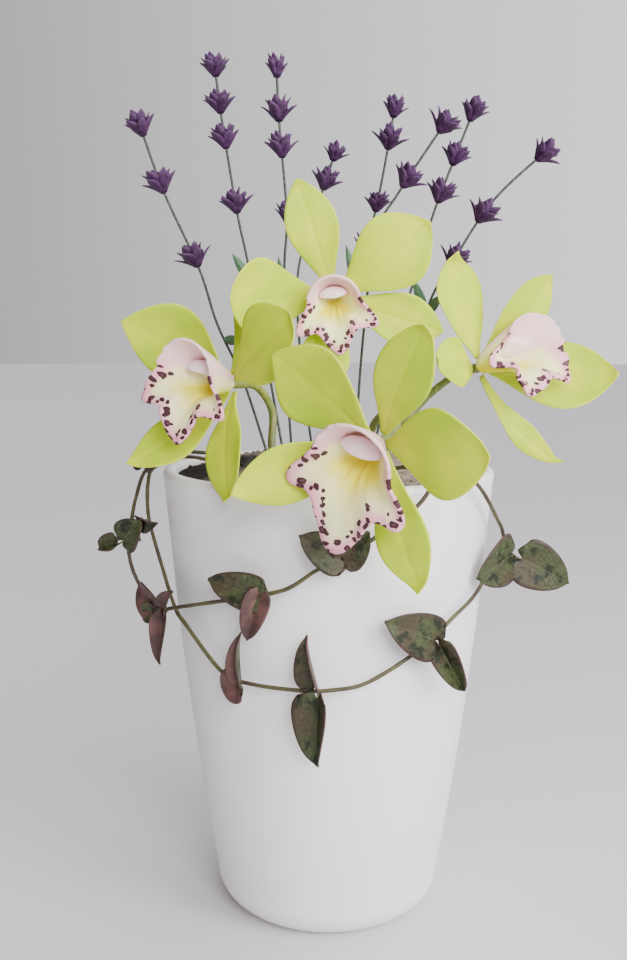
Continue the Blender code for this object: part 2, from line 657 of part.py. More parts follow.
def planted_stems():
    """Every stem's place in the mix and its radius."""
    stems = [(planted((*bloom.stem[0], 0)).xy, ORCHID_STEM_RADIUS) for bloom in BLOOMS.values()]
    stems += [(planted((*sprig.route[0], 0)).xy, SPRIG_RADIUS) for sprig in SPRIGS.values()]
    for route in VINES.values():
        points = vine_points(route)
        stems += [(points[0].xy, VINE_RADIUS), (points[-1].xy, VINE_RADIUS)]
    return stems


clear_scene()
make_pot()
make_potting_mix(planted_stems())
for bloom_name, bloom in BLOOMS.items():
    make_bloom(bloom_name, bloom)
for sprig_name, sprig in SPRIGS.items():
    make_sprig(sprig_name, sprig)
for leaf_name, leaf in SPRIG_LEAVES.items():
    make_sprig_leaf(leaf_name, leaf)
for vine_name, route in VINES.items():
    make_vine(vine_name, route)
for pair_name, pair in LEAF_PAIRS.items():
    make_leaf_pair(pair_name, pair)
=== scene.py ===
# %% [markdown]
# # Potted orchid
# A white pot holds four green orchid blooms with pink lips, eight lavender sprigs behind them, and
# two garlands of a heart-leaved vine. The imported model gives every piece's place. Each piece is
# made again here, finer than its solid, and stands where that solid stands.

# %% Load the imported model
import math
import random
from collections import namedtuple

import bmesh
import bpy
from mathutils import Matrix, Vector, noise


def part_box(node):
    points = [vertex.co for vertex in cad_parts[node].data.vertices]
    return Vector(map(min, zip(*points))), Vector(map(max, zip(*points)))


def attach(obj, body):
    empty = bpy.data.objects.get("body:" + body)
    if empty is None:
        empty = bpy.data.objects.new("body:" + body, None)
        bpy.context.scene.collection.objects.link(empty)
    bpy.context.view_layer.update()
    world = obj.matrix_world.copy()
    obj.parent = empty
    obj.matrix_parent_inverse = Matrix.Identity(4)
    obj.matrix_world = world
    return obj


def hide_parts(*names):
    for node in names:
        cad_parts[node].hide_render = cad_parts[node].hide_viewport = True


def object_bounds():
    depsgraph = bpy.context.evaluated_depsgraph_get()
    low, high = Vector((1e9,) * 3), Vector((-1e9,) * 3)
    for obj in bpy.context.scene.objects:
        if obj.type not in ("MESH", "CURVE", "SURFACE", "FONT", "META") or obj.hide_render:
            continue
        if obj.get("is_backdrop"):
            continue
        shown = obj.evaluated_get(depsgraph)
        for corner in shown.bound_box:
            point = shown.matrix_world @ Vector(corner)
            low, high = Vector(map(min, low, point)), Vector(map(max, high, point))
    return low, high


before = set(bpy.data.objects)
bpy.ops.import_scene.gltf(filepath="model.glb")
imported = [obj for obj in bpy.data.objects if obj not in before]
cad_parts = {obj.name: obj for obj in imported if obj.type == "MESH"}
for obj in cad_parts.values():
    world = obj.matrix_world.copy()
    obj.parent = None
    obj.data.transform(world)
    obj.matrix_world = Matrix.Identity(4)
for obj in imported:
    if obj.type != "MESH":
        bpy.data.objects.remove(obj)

cad_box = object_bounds()
MM = 0.001
print(len(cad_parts), "solids in the model")

# %% [markdown]
# ## Camera and light
# The camera comes first, because every later choice is judged through it. It looks slightly down
# from the front. A large soft light high on the right gives round forms a bright and a dark side,
# as a window does. A second in front reaches into the lips, and a weak one above opens the shadows.

# %% Camera
CAMERA_PLACE = (0, -0.437, 0.237)
CAMERA_DOWN = 8.2  # degrees
CAMERA_LEFT = 0.77

camera = bpy.data.objects.new("camera", bpy.data.cameras.new("camera"))
camera.data.lens = 41.25
camera.location = CAMERA_PLACE
camera.rotation_euler = (math.radians(90 - CAMERA_DOWN), 0, math.radians(CAMERA_LEFT))
bpy.context.scene.collection.objects.link(camera)
bpy.context.scene.camera = camera
print("camera", round(camera.data.lens, 2), "mm lens")

# %% Lights
LIGHTS = {
    "window_light": ((0.95, -0.75, 0.70), 0.7, 17.0, (1.0, 0.99, 0.98)),
    "front_light": ((0.35, -1.15, 0.70), 0.6, 17.0, (1.0, 0.99, 0.98)),
    "top_light": ((0.2, 0.35, 1.2), 1.0, 3.0, (1.0, 1.0, 1.0)),
}
MIDDLE = Vector((0, 0, 0.19))

for name, (place, size, power, colour) in LIGHTS.items():
    lamp = bpy.data.lights.new(name, "AREA")
    lamp.shape = "DISK"
    lamp.size = size
    lamp.energy = power
    lamp.color = colour
    light = bpy.data.objects.new(name, lamp)
    light.location = place
    light.rotation_euler = (MIDDLE - Vector(place)).to_track_quat("-Z", "Y").to_euler()
    bpy.context.scene.collection.objects.link(light)
world = bpy.data.worlds.new("pale_room")
bpy.context.scene.world = world
world.use_nodes = True
print(len(LIGHTS), "lights")

# %% [markdown]
# ## Shader sums
# A finish is easier to read as sums than as boxes and wires. This small class wraps one shader
# socket. Its operators add Math nodes, and `node` adds any other node.

# %% Shader sockets that add and multiply
class Shade:
    """One shader socket that can be used in sums."""

    def __init__(self, tree, socket=None):
        self.tree = tree
        self.socket = socket

    def node(self, kind, sockets, output=0, **settings):
        made = self.tree.nodes.new(kind)
        for name, value in settings.items():
            setattr(made, name, value)
        for name, value in sockets.items():
            if isinstance(value, Shade):
                self.tree.links.new(value.socket, made.inputs[name])
            else:
                made.inputs[name].default_value = value
        return Shade(self.tree, made.outputs[output])

    def math(self, operation, first, second=0.0):
        return self.node("ShaderNodeMath", {0: first, 1: second}, operation=operation)

    def __add__(self, other):
        return self.math("ADD", self, other)

    def __sub__(self, other):
        return self.math("SUBTRACT", self, other)

    def __rsub__(self, other):
        return self.math("SUBTRACT", other, self)

    def __mul__(self, other):
        return self.math("MULTIPLY", self, other)

    __radd__ = __add__
    __rmul__ = __mul__

    def part(self, index):
        """One of a vector's three numbers."""
        return self.node("ShaderNodeSeparateXYZ", {"Vector": self}, output=index)

    def ramp(self, low, high):
        """0 below low, 1 above high, smooth between."""
        sockets = {"Value": self, "From Min": low, "From Max": high}
        return self.node("ShaderNodeMapRange", sockets, interpolation_type="SMOOTHSTEP")

    def mix(self, first, second):
        """The first colour where this is 0 and the second where it is 1."""
        sides = [side if isinstance(side, Shade) else (*side, 1) for side in (first, second)]
        sockets = {0: self, 6: sides[0], 7: sides[1]}
        return self.node("ShaderNodeMix", sockets, output=2, data_type="RGBA")

    def speckle(self, where, scale, detail=2.0, roughness=0.5):
        sockets = {"Vector": where, "Scale": scale, "Detail": detail, "Roughness": roughness}
        return self.node("ShaderNodeTexNoise", sockets)


# %% A new finish
def new_finish(name, roughness, **fixed):
    """A material, the start of its sums, and a function that fills its shader's sockets."""
    material = bpy.data.materials.new(name)
    material.use_nodes = True
    shader = material.node_tree.nodes["Principled BSDF"]
    shader.inputs["Roughness"].default_value = roughness
    for socket, value in fixed.items():
        shader.inputs[socket.replace("_", " ")].default_value = value
    start = Shade(material.node_tree)

    def fill(colour, height=None, depth=0.0002, strength=0.5, rough=None):
        start.tree.links.new(colour.socket, shader.inputs["Base Color"])
        if rough:
            start.tree.links.new(rough.socket, shader.inputs["Roughness"])
        if height:
            sockets = {"Height": height, "Distance": depth, "Strength": strength}
            bump = start.node("ShaderNodeBump", sockets)
            start.tree.links.new(bump.socket, shader.inputs["Normal"])

    return material, start, fill


def object_place(start):
    return start.node("ShaderNodeTexCoord", {}, output=3)


def surface_place(start):
    return start.node("ShaderNodeUVMap", {}, uv_map="plan")


def along_and_across(start):
    """The two numbers of the piece's own map, from 0 to 1 each."""
    plan = surface_place(start)
    return plan.part(0), plan.part(1)


print("shader sums ready")

# %% Pale room
# The room is brighter on the window's side, so round forms keep a darker left side.
start = Shade(world.node_tree)
rightward = start.node("ShaderNodeTexCoord", {}).part(0)
colour = rightward.ramp(-0.75, 0.6).mix((0.24, 0.205, 0.195), (1.40, 1.40, 1.46))
world.node_tree.links.new(colour.socket, world.node_tree.nodes["Background"].inputs["Color"])
print(len(world.node_tree.nodes), "nodes in the room")

# %% [markdown]
# ## Helpers for pieces
# Every new piece goes through `stand_for`: it becomes one object at the origin, rides on the
# model's one body, hides the solid that it stands for, and prints how far its box is from the
# solid's box. A few tubes and sheets are made the same way all over the plant, so they have helpers.

# %% One finished piece
def stand_for(node, word, bm, slot, *materials, thickness=0.0):
    mesh = bpy.data.meshes.new(f"{word}_{node}")
    bm.to_mesh(mesh)
    bm.free()
    mesh.shade_smooth()
    for material in materials:
        mesh.materials.append(material)
    piece = bpy.data.objects.new(f"{word}_{node}", mesh)
    bpy.context.scene.collection.objects.link(piece)
    if thickness:
        wall = piece.modifiers.new("Thickness", "SOLIDIFY")
        wall.thickness = thickness
        wall.offset = 0
        if "rim" in mesh.attributes:
            group = piece.vertex_groups.new(name="full_thickness")
            for vert, rim in zip(mesh.vertices, mesh.attributes["rim"].data):
                group.add([vert.index], rim.value, "REPLACE")
            wall.vertex_group = "full_thickness"
            wall.thickness_vertex_group = 0.3
    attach(piece, "root")
    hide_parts(node)
    low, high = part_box(node)
    inner = [min(v.co[axis] for v in mesh.vertices) for axis in range(3)]
    outer = [max(v.co[axis] for v in mesh.vertices) for axis in range(3)]
    off = max(max(abs(a - b) for a, b in zip(inner, low)), max(abs(a - b) for a, b in zip(outer, high)))
    print(f"{piece.name}: {len(mesh.polygons)} faces, {off / MM:.1f} mm from the solid's box")
    return piece


# %% Curves and tubes
def smooth_route(points, steps):
    """Points read from a smooth curve that passes through the given ones."""
    ends = [2 * points[0] - points[1], *points, 2 * points[-1] - points[-2]]
    route = [points[0]]
    for before, start, end, after in zip(ends, ends[1:], ends[2:], ends[3:]):
        for step in range(1, steps + 1):
            t = step / steps
            bend = before - 2.5 * start + 2 * end - 0.5 * after
            swing = after - before + 3 * (start - end)
            route.append(start + 0.5 * t * (end - before) + t * t * bend + 0.5 * t ** 3 * swing)
    return route


def add_rod(bm, points, radii, sides=12, material=0):
    """Extrudes a circle along the points, from each to the next, and closes both ends."""
    way = (points[1] - points[0]).normalized()
    turn = Vector((0, 0, 1)).rotation_difference(way)
    first = bmesh.ops.create_circle(bm, segments=sides, radius=1)["verts"]
    place = Matrix.LocRotScale(points[0], turn, Vector.Fill(3, radii[0]))
    bmesh.ops.transform(bm, matrix=place, verts=first)
    ring = list({edge for vert in first for edge in vert.link_edges})
    ends = list(ring)
    faces = []
    for index in range(1, len(points)):
        grown = bmesh.ops.extrude_edge_only(bm, edges=ring)["geom"]
        verts = [part for part in grown if isinstance(part, bmesh.types.BMVert)]
        faces += [part for part in grown if isinstance(part, bmesh.types.BMFace)]
        new = set(verts)
        ring = [part for part in grown if isinstance(part, bmesh.types.BMEdge) and set(part.verts) <= new]
        step = points[index] - points[index - 1]
        heading = (points[min(index + 1, len(points) - 1)] - points[index - 1]).normalized()
        swing = way.rotation_difference(heading)
        way = heading
        size = Vector.Fill(3, radii[index] / radii[index - 1])
        move = Matrix.Translation(points[index]) @ swing.to_matrix().to_4x4() @ Matrix.Diagonal((*size, 1))
        bmesh.ops.transform(bm, matrix=move @ Matrix.Translation(-points[index - 1]), verts=verts)
    faces += bmesh.ops.holes_fill(bm, edges=ends + ring, sides=0)["faces"]
    for face in faces:
        face.material_index = material
    return faces


def start_sheets():
    """An empty bmesh and its layer for each point's two numbers."""
    bm = bmesh.new()
    return bm, bm.verts.layers.float_vector.new("sheet_place")


def add_sheet(bm, plan, lengthways, crossways, place):
    """A grid whose points go where place(share, across) says, and its faces. The plan keeps both numbers."""
    verts = bmesh.ops.create_grid(bm, x_segments=lengthways, y_segments=crossways, size=1)["verts"]
    for vert in verts:
        share, across = (vert.co.x + 1) / 2, vert.co.y
        vert[plan] = (share, (across + 1) / 2, 0)
        vert.co = place(share, across)
    return list({face for vert in verts for face in vert.link_faces})


def thicken(bm, sheet, wall, ahead=None):
    """Gives open sheets a second side behind them and a closed rim, and returns the new faces."""
    bmesh.ops.recalc_face_normals(bm, faces=sheet)
    if ahead and sum(face.normal.dot(ahead) * face.calc_area() for face in sheet) < 0:
        bmesh.ops.reverse_faces(bm, faces=sheet)
    before = set(bm.faces)
    grown = bmesh.ops.extrude_face_region(bm, geom=sheet, use_keep_orig=True)["geom"]
    verts = [part for part in grown if isinstance(part, bmesh.types.BMVert)]
    bm.normal_update()
    for vert, normal in [(vert, vert.normal.copy()) for vert in verts]:
        vert.co -= normal * wall
    new = [face for face in bm.faces if face not in before]
    bmesh.ops.recalc_face_normals(bm, faces=sheet + new)
    return new


def write_plan(bm, plan):
    """Gives every corner its vertex's two numbers on the map called plan."""
    layer = bm.loops.layers.uv.new("plan")
    for face in bm.faces:
        for loop in face.loops:
            loop[layer].uv = loop.vert[plan].xy


print("helpers ready")

# %% [markdown]
# ## Sizes
# These are the sizes that the solids were made with. The same numbers and the same curves place
# the finer pieces, so that each stays where its solid is.

# %% Sizes of the pot and the planting
FIT_GAP = 0.3 * MM
POT_HEIGHT = 180 * MM
RIM_RADIUS = 65.5 * MM
BASE_RADIUS = 43.5 * MM
BELLY = 2.3 * MM
WALL = 5 * MM
FLOOR = 8 * MM
FOOT_FILLET = 14 * MM
MIX_EDGE_DROP = 3 * MM
MIX_CROWN = 9 * MM
COLLAR_RISE = 1.5 * MM
HOLLOW_ANGLE = -80
HOLLOW_INSET = 15 * MM
HOLLOW_RADIUS = 18 * MM
HOLLOW_DEPTH = 7 * MM
STEM_DEPTH = 25 * MM
PLANT_SETBACK = 65.5 * MM


def pot_radius(height):
    share = min(max(height / POT_HEIGHT, 0), 1)
    return BASE_RADIUS + (RIM_RADIUS - BASE_RADIUS) * share + BELLY * math.sin(math.pi * share)


def on_pot(angle, below_rim, standoff):
    """A point by its angle from the front, its drop below the rim and its distance from the wall."""
    height = POT_HEIGHT - below_rim
    radius = pot_radius(height) + standoff
    turn = math.radians(angle)
    return Vector((radius * math.sin(turn), -radius * math.cos(turn), height))


def planted(place):
    """Millimetres right, behind and above the rim, as a point."""
    x, y, above = place
    return Vector((x * MM, y * MM - RIM_RADIUS + PLANT_SETBACK, POT_HEIGHT + above * MM))


def mix_height(radius):
    edge_radius = RIM_RADIUS - WALL - FIT_GAP
    share = min(radius / edge_radius, 1)
    return POT_HEIGHT - MIX_EDGE_DROP + MIX_CROWN * (1 - share * share)


def planted_route(root, waypoints, steps):
    """Straight up out of the mix, then in a curve through the waypoints."""
    collar = planted((*root, 0))
    collar.z = mix_height(collar.xy.length) + COLLAR_RISE
    bottom = Vector((collar.x, collar.y, POT_HEIGHT - STEM_DEPTH))
    return [bottom, *smooth_route([collar, *waypoints], steps)]


print("pot", round(POT_HEIGHT / MM), "mm tall")

# %% [markdown]
# ## The pot
# A cast ceramic pot is turned: one profile spun about its axis. Spinning is right here, because it
# gives an even wall, a round foot and a full rim in one go. Hand work leaves a wall that is never
# quite true, so the rings are pushed in and out by a fraction of a millimetre afterwards. The
# finish is a dry white with a faint warm stain and fine pits, which is what keeps it from plastic.

# %% Matt white glaze
pot_white, start, fill = new_finish("matt_white_glaze", 0.5, Coat_Weight=0.08, Coat_Roughness=0.45)
where = object_place(start)
stain = start.speckle(where, 14, 4).ramp(0.35, 0.7)
grain = start.speckle(where, 900, 3, 0.6)
lumps = start.speckle(where, 60, 3)
pits = start.node("ShaderNodeTexVoronoi", {"Vector": where, "Scale": 420}).ramp(0.05, 0.22)
colour = stain.mix((0.85, 0.83, 0.835), (0.80, 0.78, 0.785))
colour = (grain * 0.35).mix(colour, (0.72, 0.70, 0.69))
height = grain * 0.25 + lumps * 0.9 + pits * 0.3
fill(colour, height, depth=0.0003, strength=0.35, rough=0.42 + stain * 0.12 + grain * 0.08)
print(len(start.tree.nodes), "nodes in the glaze")


# %% Turned pot
POT_SIDES = 144
POT_WAVE = 0.25 * MM


def arc(centre, radius, begin, end, steps):
    turns = [math.radians(begin + (end - begin) * step / steps) for step in range(steps + 1)]
    return [(centre[0] + radius * math.cos(turn), centre[1] + radius * math.sin(turn)) for turn in turns]


def wall_rings(first, last, count, inset):
    heights = [first + (last - first) * step / count for step in range(count + 1)]
    return [(pot_radius(height) - inset, height) for height in heights]


def spun(profile, sides):
    bm = bmesh.new()
    verts = [bm.verts.new((radius, 0, height)) for radius, height in profile]
    edges = [bm.edges.new(pair) for pair in zip(verts, verts[1:])]
    bmesh.ops.spin(
        bm, geom=verts + edges, cent=(0, 0, 0), axis=(0, 0, 1), angle=2 * math.pi,
        steps=sides, use_merge=True,
    )
    bmesh.ops.remove_doubles(bm, verts=bm.verts, dist=0.001 * MM)
    bmesh.ops.recalc_face_normals(bm, faces=bm.faces)
    return bm


CORNER = FOOT_FILLET - WALL / 2
CORNER_MIDDLE = (pot_radius(FLOOR + CORNER) - WALL - CORNER, FLOOR + CORNER)
FOOT_MIDDLE = (pot_radius(FOOT_FILLET) - FOOT_FILLET, FOOT_FILLET)
UNDERSIDE_RING = 20 * MM
profile = [(0, 0), (UNDERSIDE_RING, 0), *arc(FOOT_MIDDLE, FOOT_FILLET, -90, 0, 12)]
profile += wall_rings(FOOT_FILLET + 4 * MM, POT_HEIGHT - 6 * MM, 30, 0)
profile += arc((RIM_RADIUS - WALL / 2, POT_HEIGHT - WALL / 2), WALL / 2, 0, 180, 12)
profile += wall_rings(POT_HEIGHT - 6 * MM, FLOOR + CORNER + 3 * MM, 14, WALL)
profile += [*arc(CORNER_MIDDLE, CORNER, 0, -90, 8), (0, FLOOR)]
bm = spun(profile, POT_SIDES)
for vert in bm.verts:
    if vert.co.xy.length > WALL and vert.co.z > FOOT_FILLET / 2:
        push = noise.noise(vert.co * 22) + 0.4 * noise.noise(vert.co * 70)
        vert.co.xy *= 1 + POT_WAVE * push / vert.co.xy.length
stand_for("pot", "turned", bm, "pot_glaze", pot_white)

# %% [markdown]
# ## The potting mix
# The mix is a crowned heap of fine bark and compost, with a near-black painted shade in the hollow at
# the left of the mouth. Its body is spun like the pot and its top is roughened with noise. A few
# hundred crumbs lie on it, because noise alone never gives loose pieces with a shadow under them.

# %% Crumbly mix finish
mix_brown, start, fill = new_finish("potting_mix", 0.95)
where = object_place(start)
hollow = on_pot(HOLLOW_ANGLE, 0, -HOLLOW_INSET)
# Painted shade: the hollow at the left of the mouth is coloured near-black, for the deep shade that lies in
# it.
painted_hollow_shade = start.node("ShaderNodeVectorMath", {0: where, 1: hollow}, output=1, operation="DISTANCE")
painted_hollow_shade = painted_hollow_shade.ramp(0.031, 0.019)
clumps = start.speckle(where, 260, 5, 0.65)
flecks = start.speckle(where, 1500, 2)
colour = clumps.ramp(0.3, 0.7).mix((0.13, 0.095, 0.075), (0.33, 0.26, 0.21))
colour = flecks.ramp(0.62, 0.75).mix(colour, (0.42, 0.35, 0.28))
colour = (painted_hollow_shade * 0.97).mix(colour, (0.006, 0.004, 0.003))
fill(colour, clumps + flecks * 0.4, depth=0.0008, strength=0.8)
print(len(start.tree.nodes), "nodes in the mix")

# %% Crowned heap with loose crumbs
MIX_LEVELS = [step / 26 for step in range(25, -1, -1)]
CRUMBS = 520
ROUGHNESS = 0.7 * MM
edge_height = POT_HEIGHT - MIX_EDGE_DROP
edge_radius = pot_radius(edge_height) - WALL - FIT_GAP


def mix_surface(x, y):
    """The height of the rough top, with the hollow."""
    flat = Vector((x, y))
    height = mix_height(flat.length)
    distance = (flat - hollow.xy).length / HOLLOW_RADIUS
    height -= HOLLOW_DEPTH * max(0, 1 - distance * distance)
    rough = noise.fractal(Vector((x, y, 0)) * 160, 0.9, 2.1, 4)
    return height + ROUGHNESS * rough * min(1, (edge_radius - flat.length) / (4 * MM))


profile = [(0, FLOOR + FIT_GAP), *arc(CORNER_MIDDLE, CORNER - FIT_GAP, -90, 0, 6)]
profile += wall_rings(FLOOR + CORNER + 3 * MM, edge_height, 12, WALL + FIT_GAP)
profile += [(edge_radius * level, edge_height + 1 * MM) for level in MIX_LEVELS]
bm = spun(profile, 120)
for vert in bm.verts:
    if vert.co.z > edge_height + 0.5 * MM:
        vert.co.z = mix_surface(vert.co.x, vert.co.y)
crumb_draws = random.Random(11)
for number in range(CRUMBS):
    turn, reach = crumb_draws.uniform(0, 2 * math.pi), edge_radius * 0.97 * crumb_draws.random() ** 0.5
    x, y = reach * math.cos(turn), reach * math.sin(turn)
    size = MM * crumb_draws.uniform(0.35, 1.0)
    crumb = bmesh.ops.create_icosphere(bm, subdivisions=1, radius=size)["verts"]
    squeeze = (crumb_draws.uniform(0.6, 1.6), crumb_draws.uniform(0.6, 1.4), crumb_draws.uniform(0.4, 0.9))
    bmesh.ops.scale(bm, verts=crumb, vec=squeeze)
    spin = Matrix.Rotation(crumb_draws.uniform(0, math.pi), 3, "Z")
    bmesh.ops.rotate(bm, verts=crumb, matrix=spin, cent=(0, 0, 0))
    bmesh.ops.translate(bm, verts=crumb, vec=(x, y, mix_surface(x, y) + 0.15 * size))
stand_for("potting_mix", "crumbly", bm, "potting_mix", mix_brown)

# %% [markdown]
# ## Orchid tepals
# A cymbidium has three sepals and two broader petals that look almost alike. Each is a thin sheet,
# thickest along its middle, with a fine point, a groove down the middle and veins along it. A
# sheet is best made from a flat grid whose points are then moved to where the tepal's own numbers
# say. The grid's first direction runs from root to tip, and that same number drives the colour.

# %% Bloom numbers
TEPAL_THICKNESS = 1.2 * MM
TEPAL_ROOT_RADIUS = 3.5 * MM
TEPAL_ROOT_WIDTH = 3.0 * MM
PETAL_STEP = 1.6 * MM
TEPAL_CUP = 0.10
PETAL_WIDTH = 27.5 * MM
SEPAL_WIDTH = 18.5 * MM

Bloom = namedtuple("Bloom", "place yaw pitch roll lip stem tepals")
Lip = namedtuple("Lip", "scale depth middle_lobe turn lean")
Tepal = namedtuple(
    "Tepal", "azimuth reach forward width arch sweep twist hook", defaults=(PETAL_WIDTH, 3, 0, 0, 1.5)
)


def sepal(azimuth, reach, forward, width=SEPAL_WIDTH, **bends):
    """A tepal by its tip: degrees round the axis, millimetres out from it and forward along it."""
    return Tepal(azimuth, reach, forward, width, **bends)


BLOOMS = {
    "left_bloom": Bloom(
        place=(-34, -42, 35), yaw=-45, pitch=8, roll=-8,
        lip=Lip(0.86, 21, 15, (16, 4), (-9, 1)),
        stem=((-20, -33), (-21, -31, 12), (-21, -27, 24)),
        tepals={
            "dorsal_sepal": sepal(110, 47, -13, width=14 * MM, arch=-3, twist=45, hook=2.5),
            "right_petal": Tepal(37, 45, 8, hook=3),
            "left_petal": Tepal(161, 42, 24, arch=-8),
            "left_sepal": sepal(-120, 42, 24, arch=-4),
            "right_sepal": sepal(-61, 45, 10, hook=3),
        },
    ),
    "top_bloom": Bloom(
        place=(2, -20, 66), yaw=6, pitch=-4, roll=8,
        lip=Lip(0.72, 19, 13, (-8, 0), (0, 0)),
        stem=((2, -10), (2, -7, 22), (1, -5, 46)),
        tepals={
            "dorsal_sepal": sepal(101, 45, 6),
            "right_petal": Tepal(31, 44, 8),
            "left_petal": Tepal(171, 40, 30, arch=-6),
            "left_sepal": sepal(-108, 36, 4, hook=2.5),
            "right_sepal": sepal(-25, 43, 4),
        },
    ),
    "front_bloom": Bloom(
        place=(16.5, -88, 19), yaw=-29, pitch=-12, roll=-20,
        lip=Lip(1, 19, 20, (0, 0), (0, 0)),
        stem=((14, -26), (17, -34, 20), (23, -56, 27)),
        tepals={
            "dorsal_sepal": sepal(80, 47, 8, hook=3),
            "right_petal": Tepal(24, 44, 15),
            "left_petal": Tepal(160, 45, 2, arch=-1),
            "left_sepal": sepal(-145, 42, 28, arch=0, hook=2.5),
            "right_sepal": sepal(-49, 48, 13, hook=3.5),
        },
    ),
    "right_bloom": Bloom(
        place=(58, -5, 39), yaw=44, pitch=16, roll=-20,
        lip=Lip(0.86, 20, 12, (-20, 8), (17, 8)),
        stem=((24, -8), (25, -6, 10), (38, 1, 26)),
        tepals={
            "dorsal_sepal": sepal(67, 43, 22, arch=3),
            "left_petal": Tepal(118, 45, 4, arch=-2, hook=3.5),
            "right_petal": Tepal(2, 42, 36, arch=-4),
            "left_sepal": sepal(-163, 33, 6, hook=3),
            "right_sepal": sepal(-44, 48, 14, width=9 * MM, arch=1, sweep=-6, twist=60, hook=3.5),
        },
    ),
}


def bloom_frame(bloom):
    """X is the bloom's right, Y its top and Z the way it faces."""
    turn = (
        Matrix.Rotation(math.radians(bloom.yaw), 4, "Z")
        @ Matrix.Rotation(math.radians(90 - bloom.pitch), 4, "X")
        @ Matrix.Rotation(math.radians(bloom.roll), 4, "Z")
    )
    return Matrix.Translation(planted(bloom.place)) @ turn


print(len(BLOOMS), "blooms")

# %% [markdown]
# Living tepals let some light through, so the finish has a little subsurface light. The colour
# goes from a pale root to a clear lime, greener between the veins, with a pale rim.

# %% Lime finish
lime, start, fill = new_finish(
    "lime_tepal", 0.5, Subsurface_Weight=0.2, Subsurface_Scale=0.004,
    Subsurface_Radius=(0.7, 1.0, 0.2), Specular_IOR_Level=0.25,
)
along, across = along_and_across(start)
where = object_place(start)
cloud = start.speckle(where, 55, 3)
wander = start.speckle(where, 120, 2)
line = start.math("SINE", across * 96 + wander * 3.5)
vein = line.ramp(0.55, 1.0)
fine = start.math("SINE", across * 260 + wander * 6).ramp(0.2, 1.0)
middle = start.math("ABSOLUTE", across - 0.5)
colour = cloud.ramp(0.35, 0.68).mix((0.57, 0.68, 0.014), (0.42, 0.57, 0.002))
colour = (along.ramp(0.45, 0.0) * 0.4).mix(colour, (0.58, 0.64, 0.06))
colour = (middle.ramp(0.10, 0.46) * 0.4).mix(colour, (0.34, 0.50, 0.001))
colour = (along.ramp(0.84, 1.0) * 0.5).mix(colour, (0.46, 0.56, 0.001))
colour = (vein * along.ramp(0.05, 0.4) * 0.09).mix(colour, (0.34, 0.48, 0.01))
colour = (middle.ramp(0.035, 0.0) * 0.18).mix(colour, (0.36, 0.48, 0.01))
colour = (middle.ramp(0.475, 0.5) * 0.35).mix(colour, (0.70, 0.78, 0.10))
fill(colour, vein * 0.25 + fine * 0.15 + cloud, strength=0.35, rough=0.44 + cloud * 0.14)
print(len(start.tree.nodes), "nodes in the lime finish")


# %% Shape of one tepal
TEPAL_GRID = (40, 20)
GROOVE = 0.28 * MM
RUFFLE = 0.7 * MM


def tepal_width(share, width):
    """A narrow root, broadest past the middle, a small pointed tip."""
    body = math.sin(math.pi * share ** 1.35) ** 0.95 if 0 < share < 1 else 0
    root = TEPAL_ROOT_WIDTH * (1 - share)
    point = max(0, 1 - max(0, (share - 0.94) / 0.06) ** 2) ** 0.5
    return max((root + (width - root) * body + 0.06 * width * share) * point, 0.25 * MM)


def tepal_point(tepal, begin, share, across, wave):
    """A point of the sheet in its bloom's frame, across from -1 to 1."""
    base = Vector((TEPAL_ROOT_RADIUS, 0, begin))
    tip = Vector((tepal.reach * MM, 0, tepal.forward * MM))
    chord = (tip - base).normalized()
    front = Vector((-chord.z, 0, chord.x))
    side = Vector((0, 1, 0))
    bow = 4 * share * (1 - share)
    spine = base.lerp(tip, share) + bow * MM * (tepal.arch * front + tepal.sweep * side)
    turn = Matrix.Rotation(math.radians(tepal.twist) * share, 4, chord)
    half = tepal_width(share, tepal.width) / 2
    offset = half * across * side + TEPAL_CUP * half * across * across * front
    groove = GROOVE * math.exp(-((across / 0.09) ** 2)) * min(1, 6 * share * (1 - share))
    ruffle = RUFFLE * abs(across) ** 3 * math.sin(9 * share + wave + 2 * across) * bow
    hook = tepal.hook * MM * max(0, (share - 0.9) / 0.1) ** 2
    lift = (ruffle - groove + hook) * front
    return Matrix.Rotation(math.radians(tepal.azimuth), 4, "Z") @ (spine + turn @ offset + lift)


def grow_tepal(node, place, tepal, begin, wave):
    bm, plan = start_sheets()
    rim = bm.verts.layers.float.new("rim")

    def sheet_point(share, across):
        return place @ tepal_point(tepal, begin, share, across, wave)

    add_sheet(bm, plan, *TEPAL_GRID, sheet_point)
    for vert in bm.verts:
        share, across, _ = vert[plan]
        vert[rim] = (1 - abs(2 * across - 1) ** 4) * (1 - share ** 6)
    write_plan(bm, plan)
    stand_for(node, "veined", bm, "green_tepal", lime, thickness=TEPAL_THICKNESS)


# %% Twenty tepals
for bloom_name, bloom in BLOOMS.items():
    for number, (part, tepal) in enumerate(bloom.tepals.items()):
        begin = PETAL_STEP if part.endswith("petal") else 0
        wave = 1.7 * number + bloom.yaw
        grow_tepal(f"{bloom_name}_{part}", bloom_frame(bloom), tepal, begin, wave)

# %% [markdown]
# ## Lips
# The third petal of an orchid is its lip: a trumpet, closed at the root, with two side lobes, a
# longer middle lobe with a frilled edge, and two raised keels that lead an insect to the throat.
# A spun trumpet gives the even start, and its rings are then drawn out to the lobes.

# %% Lip numbers
LIP_WALL = 1.1 * MM
LIP_START = 2.9 * MM
LIP_ROOT_RADIUS = 2.4 * MM
LIP_MOUTH_RADIUS = 12 * MM
SIDE_LOBE = 11 * MM
LIP_SIDES = 150
LIP_RINGS = 44
KEEL_HEIGHT = 1.5 * MM
FRILL = 0.4 * MM


def lobe_reach(angle, middle_length):
    """How far the edge stands out past the throat, by the angle from straight down."""
    side_lobe = SIDE_LOBE * math.exp(-((abs(angle) - 54) / 16) ** 2)
    middle_lobe = middle_length * math.exp(-abs(angle / 25) ** 1.7)
    return side_lobe + middle_lobe + 1.5 * MM * (1 - math.cos(math.radians(180 - abs(angle))))


